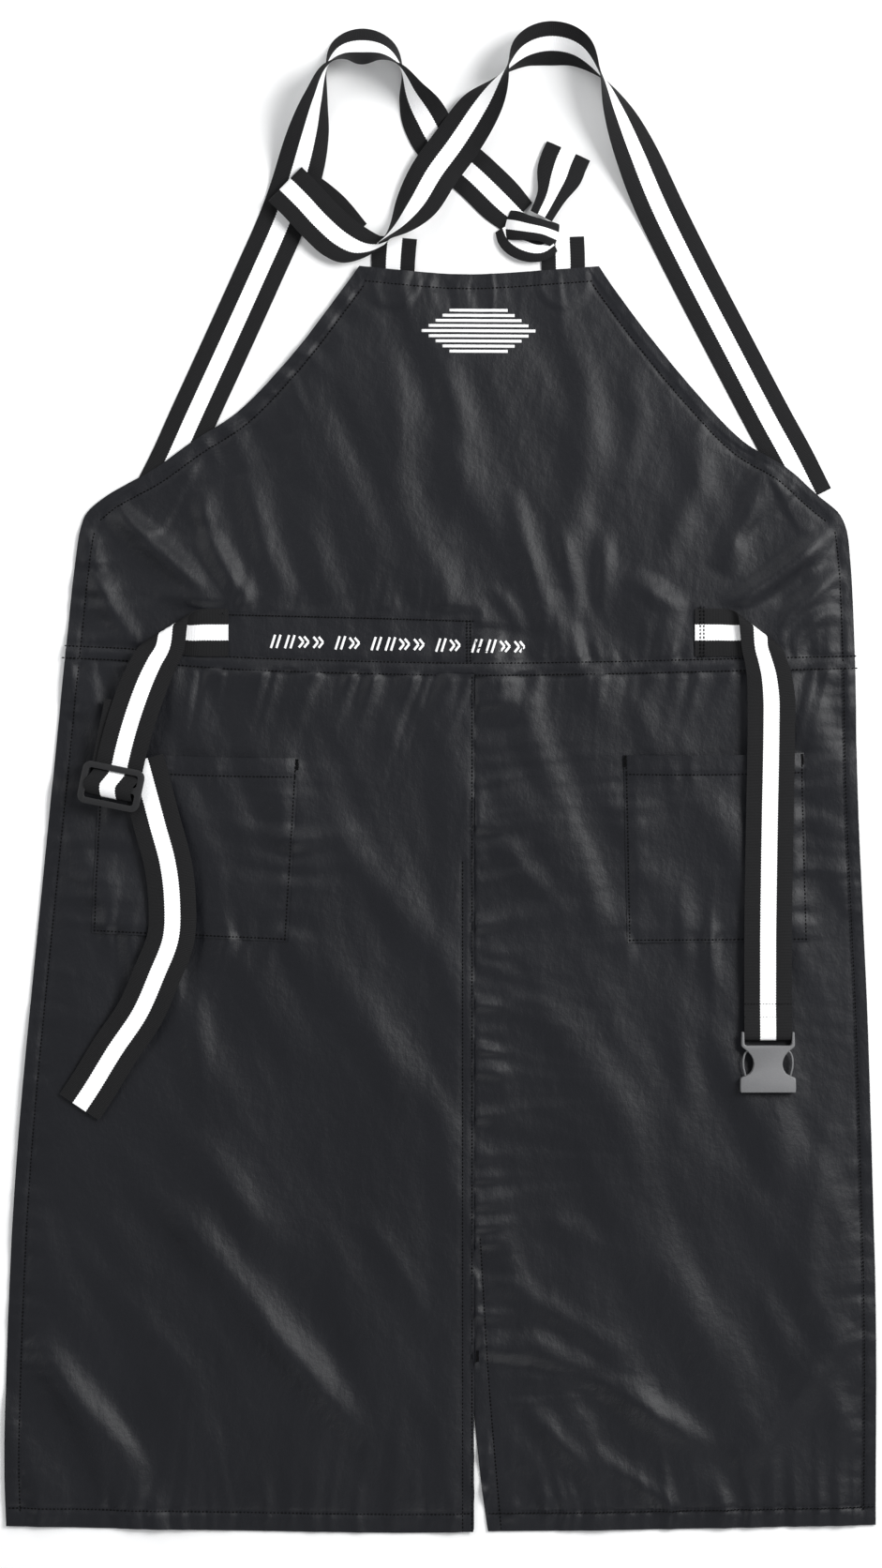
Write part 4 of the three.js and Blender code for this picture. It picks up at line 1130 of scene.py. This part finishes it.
left_vent = [(VENT_X - 0.7, -506), (VENT_X, -300), (VENT_X, 190)]
x, y = panel_grid(LEFT_EDGE, left_vent, HEM_LINE, shift_line(WAIST_LINE, 2.0))
left_skirt = cloth_from("left_skirt_cloth", x, y, lap_height(x, y))
x, y = panel_grid(RIGHT_VENT, RIGHT_EDGE, HEM_LINE, shift_line(WAIST_LINE, 2.0))
right_skirt = cloth_from("right_skirt_cloth", x, y, cloth_height(x, y))
x, y = panel_grid(LEFT_EDGE, RIGHT_EDGE, shift_line(WAIST_LINE, 0.3), TOP_LINE)
bib = cloth_from("bib_cloth", x, y, bib_height(x, y))
settled(left_skirt, "skirt", "left_skirt_panel")
settled(right_skirt, "skirt", "right_skirt_panel")
on_bib(bib)
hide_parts("bib_panel", "waist_band_panel")


def edge_band(name, edge, depth, low, high, *rest, **settings):
    """Strip along an outline's edge, depth wide, between two heights."""
    rim = math.copysign(0.2, depth)
    return band(name, offset_edge(edge, rim, low, high, 6.0), offset_edge(edge, depth, low, high, 6.0),
                *rest, **settings)


def line_band(name, line, x0, x1, rim, depth, *rest, **settings):
    """Strip along a level line, between two distances above it."""
    return band(name, above(line, x0, x1, rim), above(line, x0, x1, depth), *rest, **settings)


VENT_RIM = [(37.4, -503), (32.6, -470), (26.4, -410), (20, -330), (12, -240), (8, -100), (8, 170)]
VENT_FACE = [(49, -503), (44, -470), (38, -410), (31, -330), (24, -240), (19, -100), (19, 170)]
hems = [
    edge_band("left_skirt_side_hem", LEFT_EDGE, 12.5, -490, 186, cloth_height, on_skirt, ["left_side_hem"]),
    edge_band("right_skirt_side_hem", RIGHT_EDGE, -10.5, -489, 180, cloth_height, on_skirt,
              ["right_side_hem"]),
    line_band("left_skirt_bottom_hem", HEM_LINE, -347, 14, 0.3, 15.5, cloth_height, on_skirt,
              ["left_bottom_hem"]),
    line_band("right_skirt_bottom_hem", HEM_LINE, 52, 347, 0.3, 15.5, cloth_height, on_skirt,
              ["right_bottom_hem"]),
    band("left_vent_turning", [(VENT_X - 0.2, -503), (VENT_X - 0.2, 176)],
         [(VENT_X - 11, -503), (VENT_X - 11, 176)], lap_height, on_skirt, ["left_vent_hem"], drop=0.1),
    band("right_vent_turning", VENT_RIM, VENT_FACE, cloth_height, on_skirt, ["right_vent_hem"]),
    line_band("waist_seam_tape_cloth", WAIST_LINE, -297, 329, -8, 12, cloth_height, on_skirt,
              ["waist_seam_tape"], drop=0.12),
]
bib_hems = [
    edge_band("left_bib_hem", LEFT_EDGE, 12.5, 205, 300, bib_height, on_bib,
              ["left_bib_side_hem", "left_band_hem"]),
    edge_band("right_bib_hem", RIGHT_EDGE, -10.5, 198, 299, bib_height, on_bib,
              ["right_bib_side_hem", "right_band_hem"]),
    edge_band("left_armhole_binding", LEFT_EDGE, 13.5, 308, 503, bib_height, on_bib,
              ["left_armhole_facing"], drop=0.1),
    edge_band("right_armhole_binding", RIGHT_EDGE, -13.5, 308, 503, bib_height, on_bib,
              ["right_armhole_facing"], drop=0.1),
    line_band("top_hem", TOP_LINE, -60, 121, -0.3, -12.5, bib_height, on_bib, ["neck_facing"], drop=0.1),
]

# Patch on the waistband
PATCH_TOP = [(-176.5, 230.3), (-120, 229), (-50, 227.2), (25.6, 225)]
PATCH_FOOT = [(-176.5, 194.6), (-120, 193.4), (-50, 191.6), (25.6, 190.2)]


def patch_height(x, y):
    waves = 0.45 * drift(x + 0.5 * y, y - 0.3 * x, 17, 26, 31) + 0.25 * drift(x, y, 7, 13, 32)
    return bib_height(x, y) + CLOTH + 0.15 + np.maximum(waves, -0.1) * ramp(y, 188, 196)


patch = band("waist_patch_cloth", PATCH_FOOT, PATCH_TOP, patch_height, on_skirt, ["waist_patch"], drop=-0.01,
             thick=0.4, columns=14)


# Pockets
class Pocket:
    """Pocket cloth over a panel: four corners on the plan, and how it stands off the panel."""

    def __init__(self, name, corners, seed):
        self.name = name
        self.corners = np.array(corners, float)   # top left, top right, bottom left, bottom right
        self.seed = seed

    def plan(self, u, v):
        """Place at share u across and v up the pocket."""
        tl, tr, bl, br = self.corners
        u, v = np.asarray(u)[..., None], np.asarray(v)[..., None]
        sag = np.concatenate([0 * u, -1.3 * np.sin(np.pi * u) * v], axis=-1)
        return (bl * (1 - u) + br * u) * (1 - v) + (tl * (1 - u) + tr * u) * v + sag

    def height(self, u, v):
        spot = self.plan(u, v)
        x, y = spot[..., 0], spot[..., 1]
        round_edge = smooth(np.minimum(u, 1 - u) * 14)
        foot = smooth(v * 14)
        puff = 1.9 * round_edge * foot * (0.55 + 0.45 * v)
        gape = 1.0 * np.sin(np.pi * u) ** 0.7 * smooth(v * 3 - 2)
        hem = 0.5 * ramp(v, 0.89, 0.905) - 0.35 * np.exp(-((v - 0.897) / 0.010) ** 2)
        side = np.minimum(u, 1 - u) * 150
        puckers = 0.9 * np.exp(-side / 14) * wander(v * 148 + side * 0.4, 12, self.seed)
        low = 1.0 * np.exp(-v * 148 / 15) * wander(u * 150, 10, self.seed + 1)
        mouth = 0.8 * np.exp(-np.abs(v - 0.9) * 148 / 9) * wander(u * 150, 8, self.seed + 2)
        broad = 1.1 * drift(x + 0.8 * y, y - 0.6 * x, 34, 60, self.seed + 3)
        ground = cloth_height(x, y) + CLOTH
        z = ground + 0.25 + puff + gape + hem + (puckers + low + mouth + broad) * round_edge
        return np.clip(z, ground + 0.1, 9.0)

    def build(self):
        u = np.linspace(0, 1, 66)[None, :].repeat(60, axis=0)
        v = np.linspace(0, 1, 60)[:, None].repeat(66, axis=1)
        spot = self.plan(u, v)
        obj = cloth_from(f"{self.name}_cloth", spot[..., 0], spot[..., 1], self.height(u, v))
        settled(obj, "skirt", self.name)
        u = np.linspace(0.012, 0.988, 60)[None, :].repeat(6, axis=0)
        v = np.linspace(0.885, 0.993, 6)[:, None].repeat(60, axis=1)
        spot = self.plan(u, v)
        turning = cloth_from(f"{self.name}_turning", spot[..., 0], spot[..., 1],
                             self.height(u, v) - 0.42, 0.36)
        settled(turning, "skirt", f"{self.name}_hem")
        return obj, turning

    def line(self, uv, lift=0.1):
        uv = even_curve([(u * 155, v * 148) for u, v in uv], 2.0) / (155, 148)
        spot = self.plan(uv[:, 0], uv[:, 1])
        return np.column_stack([spot, self.height(uv[:, 0], uv[:, 1]) + CLOTH + lift])


left_pocket = Pocket("left_pocket", [(-272.6, 118.5), (-113.6, 113.6), (-279.4, -26), (-122.6, -33)], 400)
right_pocket = Pocket("right_pocket", [(146, 116.2), (290, 117.8), (149, -34), (294, -33)], 420)
pocket_pieces = [p.build() for p in (left_pocket, right_pocket)]


# ---- Printed marks

def print_strokes(name, strokes, width, surface, rides, replaced=()):
    """Printed lines lying on the cloth."""
    points, faces = [], []
    for stroke in strokes:
        line = even_curve(stroke, 1.6) if len(stroke) > 2 else np.linspace(stroke[0], stroke[1], 40)
        along = tangents(line)
        normal = np.stack([-along[:, 1], along[:, 0]], axis=1)
        start = len(points)
        rails = np.stack([line - normal * width / 2, line + normal * width / 2], axis=1).reshape(-1, 2)
        points += list(np.column_stack([rails, surface(rails[:, 0], rails[:, 1]) + 0.06]))
        faces += grid_faces(len(line), 2, start)
    obj = make_object(name, points, faces, INK)
    with_modifier(obj, "SOLIDIFY", thickness=0.1 * MM, offset=1.0)
    outward(obj)
    rides(obj)
    if replaced:
        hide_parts(*replaced)
    return obj


def lozenge_rows(x0, x1, y0, y1, rows):
    """Lozenge made of level stripes."""
    middle = (x0 + x1) / 2
    strokes = []
    for i in range(rows):
        share = (i + 0.5) / rows
        reach = (x1 - x0) / 2 * (1 - 0.55 * abs(2 * share - 1))
        y = y0 + (y1 - y0) * share
        strokes.append([(middle - reach, y), (middle + reach, y)])
    return strokes


def over_bib(x, y):
    return bib_height(x, y) + CLOTH


def over_patch(x, y):
    inside = (np.asarray(x) > -176) & (np.asarray(x) < 25.9)
    return np.where(inside, patch_height(x, y) + 0.42, over_bib(x, y))


chest_mark = print_strokes("chest_stripes", lozenge_rows(-15.5, 75.5, 436.5, 473.5, 9), 2.3, over_bib, on_bib,
                           ["chest_print"])


def waist_marks():
    """A row of plain marks along the patch: slanting bars and arrowheads of straight strokes."""
    kinds = itertools.cycle(["bars", "bars", "arrows", "arrows", "gap", "bars", "arrows", "gap"])
    strokes = []
    first = -136.0
    x = first
    while x < 66:
        kind = next(kinds)
        foot = 201.6 - 0.022 * (x - first)
        head = foot + 10.6
        mid = (foot + head) / 2
        if kind == "gap":
            x += 6
        elif kind == "bars":
            strokes += [[(x, foot), (x + 3.4, head)], [(x + 4.4, foot), (x + 7.8, head)]]
            x += 11.2
        else:
            for shift in (0, 4.2):
                tip = (x + shift + 3.6, mid)
                strokes += [[(x + shift, foot + 1), tip], [tip, (x + shift, head - 1)]]
            x += 11.6
    return strokes


waist_mark = print_strokes("waist_marks", waist_marks(), 1.9, over_patch, on_skirt)

# ---- Stitching

def rows_on(lines, surface, lift=0.12):
    out = []
    for line in lines:
        flat = even_curve([list(p) for p in line], 3.0)
        out.append(np.column_stack([flat, surface(flat[:, 0], flat[:, 1]) + CLOTH + lift]))
    return out


def tack(x, y, length, surface, across=2.0, turns=9):
    """Bar tack: thread zigzagged over a short upright line."""
    ys = np.linspace(y - length / 2, y + length / 2, 2 * turns)
    xs = x + across / 2 * np.where(np.arange(2 * turns) % 2, 1, -1)
    line = np.column_stack([xs, ys])
    fine = np.concatenate([np.linspace(a, b, 4)[:-1] for a, b in zip(line[:-1], line[1:])])
    return np.column_stack([fine, surface(fine[:, 0], fine[:, 1]) + CLOTH + 0.3])


skirt_lines = rows_on(SKIRT_ROWS[:4] + SKIRT_ROWS[6:8], lap_height) + rows_on(SKIRT_ROWS[8:9], cloth_height)
skirt_lines += rows_on(SKIRT_ROWS[4:6], bib_height)
skirt_stitches = stitched("skirt_stitching", skirt_lines)
on_skirt(skirt_stitches)
bib_stitches = stitched("bib_stitching", rows_on(BAND_ROWS + BIB_ROWS, bib_height), seed=6)
on_bib(bib_stitches)
patch_stitches = stitched("patch_stitching", rows_on([
    [(x, y - 2.0) for x, y in PATCH_TOP], [(23.6, 223), (23.6, 191.5)], [(20.8, 223), (20.8, 191.5)],
    [(-174.6, 229), (-174.6, 196)]], patch_height), pitch=2.6, length=2.0, seed=7)
on_skirt(patch_stitches)
POCKET_ROWS = [[(0.014, 0.99), (0.014, 0.5), (0.014, 0.014)], [(0.986, 0.99), (0.986, 0.014)],
               [(0.014, 0.014), (0.5, 0.014), (0.986, 0.014)],
               [(0.014, 0.897), (0.5, 0.897), (0.986, 0.897)]]
for pocket in (left_pocket, right_pocket):
    rows = [pocket.line(row) for row in POCKET_ROWS]
    piece = stitched(f"{pocket.name}_stitching", rows, seed=8)
    on_skirt(piece)
    for side, (x, y), name in ((0, pocket.corners[0], "left"), (1, pocket.corners[1], "right")):
        x += 1.2 if side == 0 else -1.2
        corner = tack(x, y - 5, 9, lambda u, v: cloth_height(u, v) + 1.6)
        piece = stitched(f"{pocket.name}_{name}_bartack", [corner], pitch=0.8, length=1.5, width=0.55, seed=9)
        settled(piece, "skirt", f"{pocket.name}_{name}_tack")

vent_tack = stitched("vent_bartack", [tack(29.2, -364, 9, cloth_height)],
                     pitch=0.8, length=1.5, width=0.55, seed=10)
settled(vent_tack, "skirt", "vent_bar_tack")


def flat_at(level):
    return lambda x, y: level + 0 * np.asarray(x)


stub_rows = rows_on([[(207.2, 195), (207.2, 234)], [(210, 195), (210, 234)]], flat_at(4.9), 0.3)
settled(stitched("right_stub_stitching", stub_rows, seed=11), "skirt", "right_stub_tack")

strap_rows = [np.column_stack([np.linspace(242.6, 279.4, 20), np.full(20, y), np.full(20, z)])
              for y, z in ((-82.5, 9.7), (-93, 10.2))]
end_stitches = stitched("strap_end_stitching", strap_rows, pitch=2.4, length=1.7, width=0.7, seed=12)
settled(end_stitches, "right_strap")
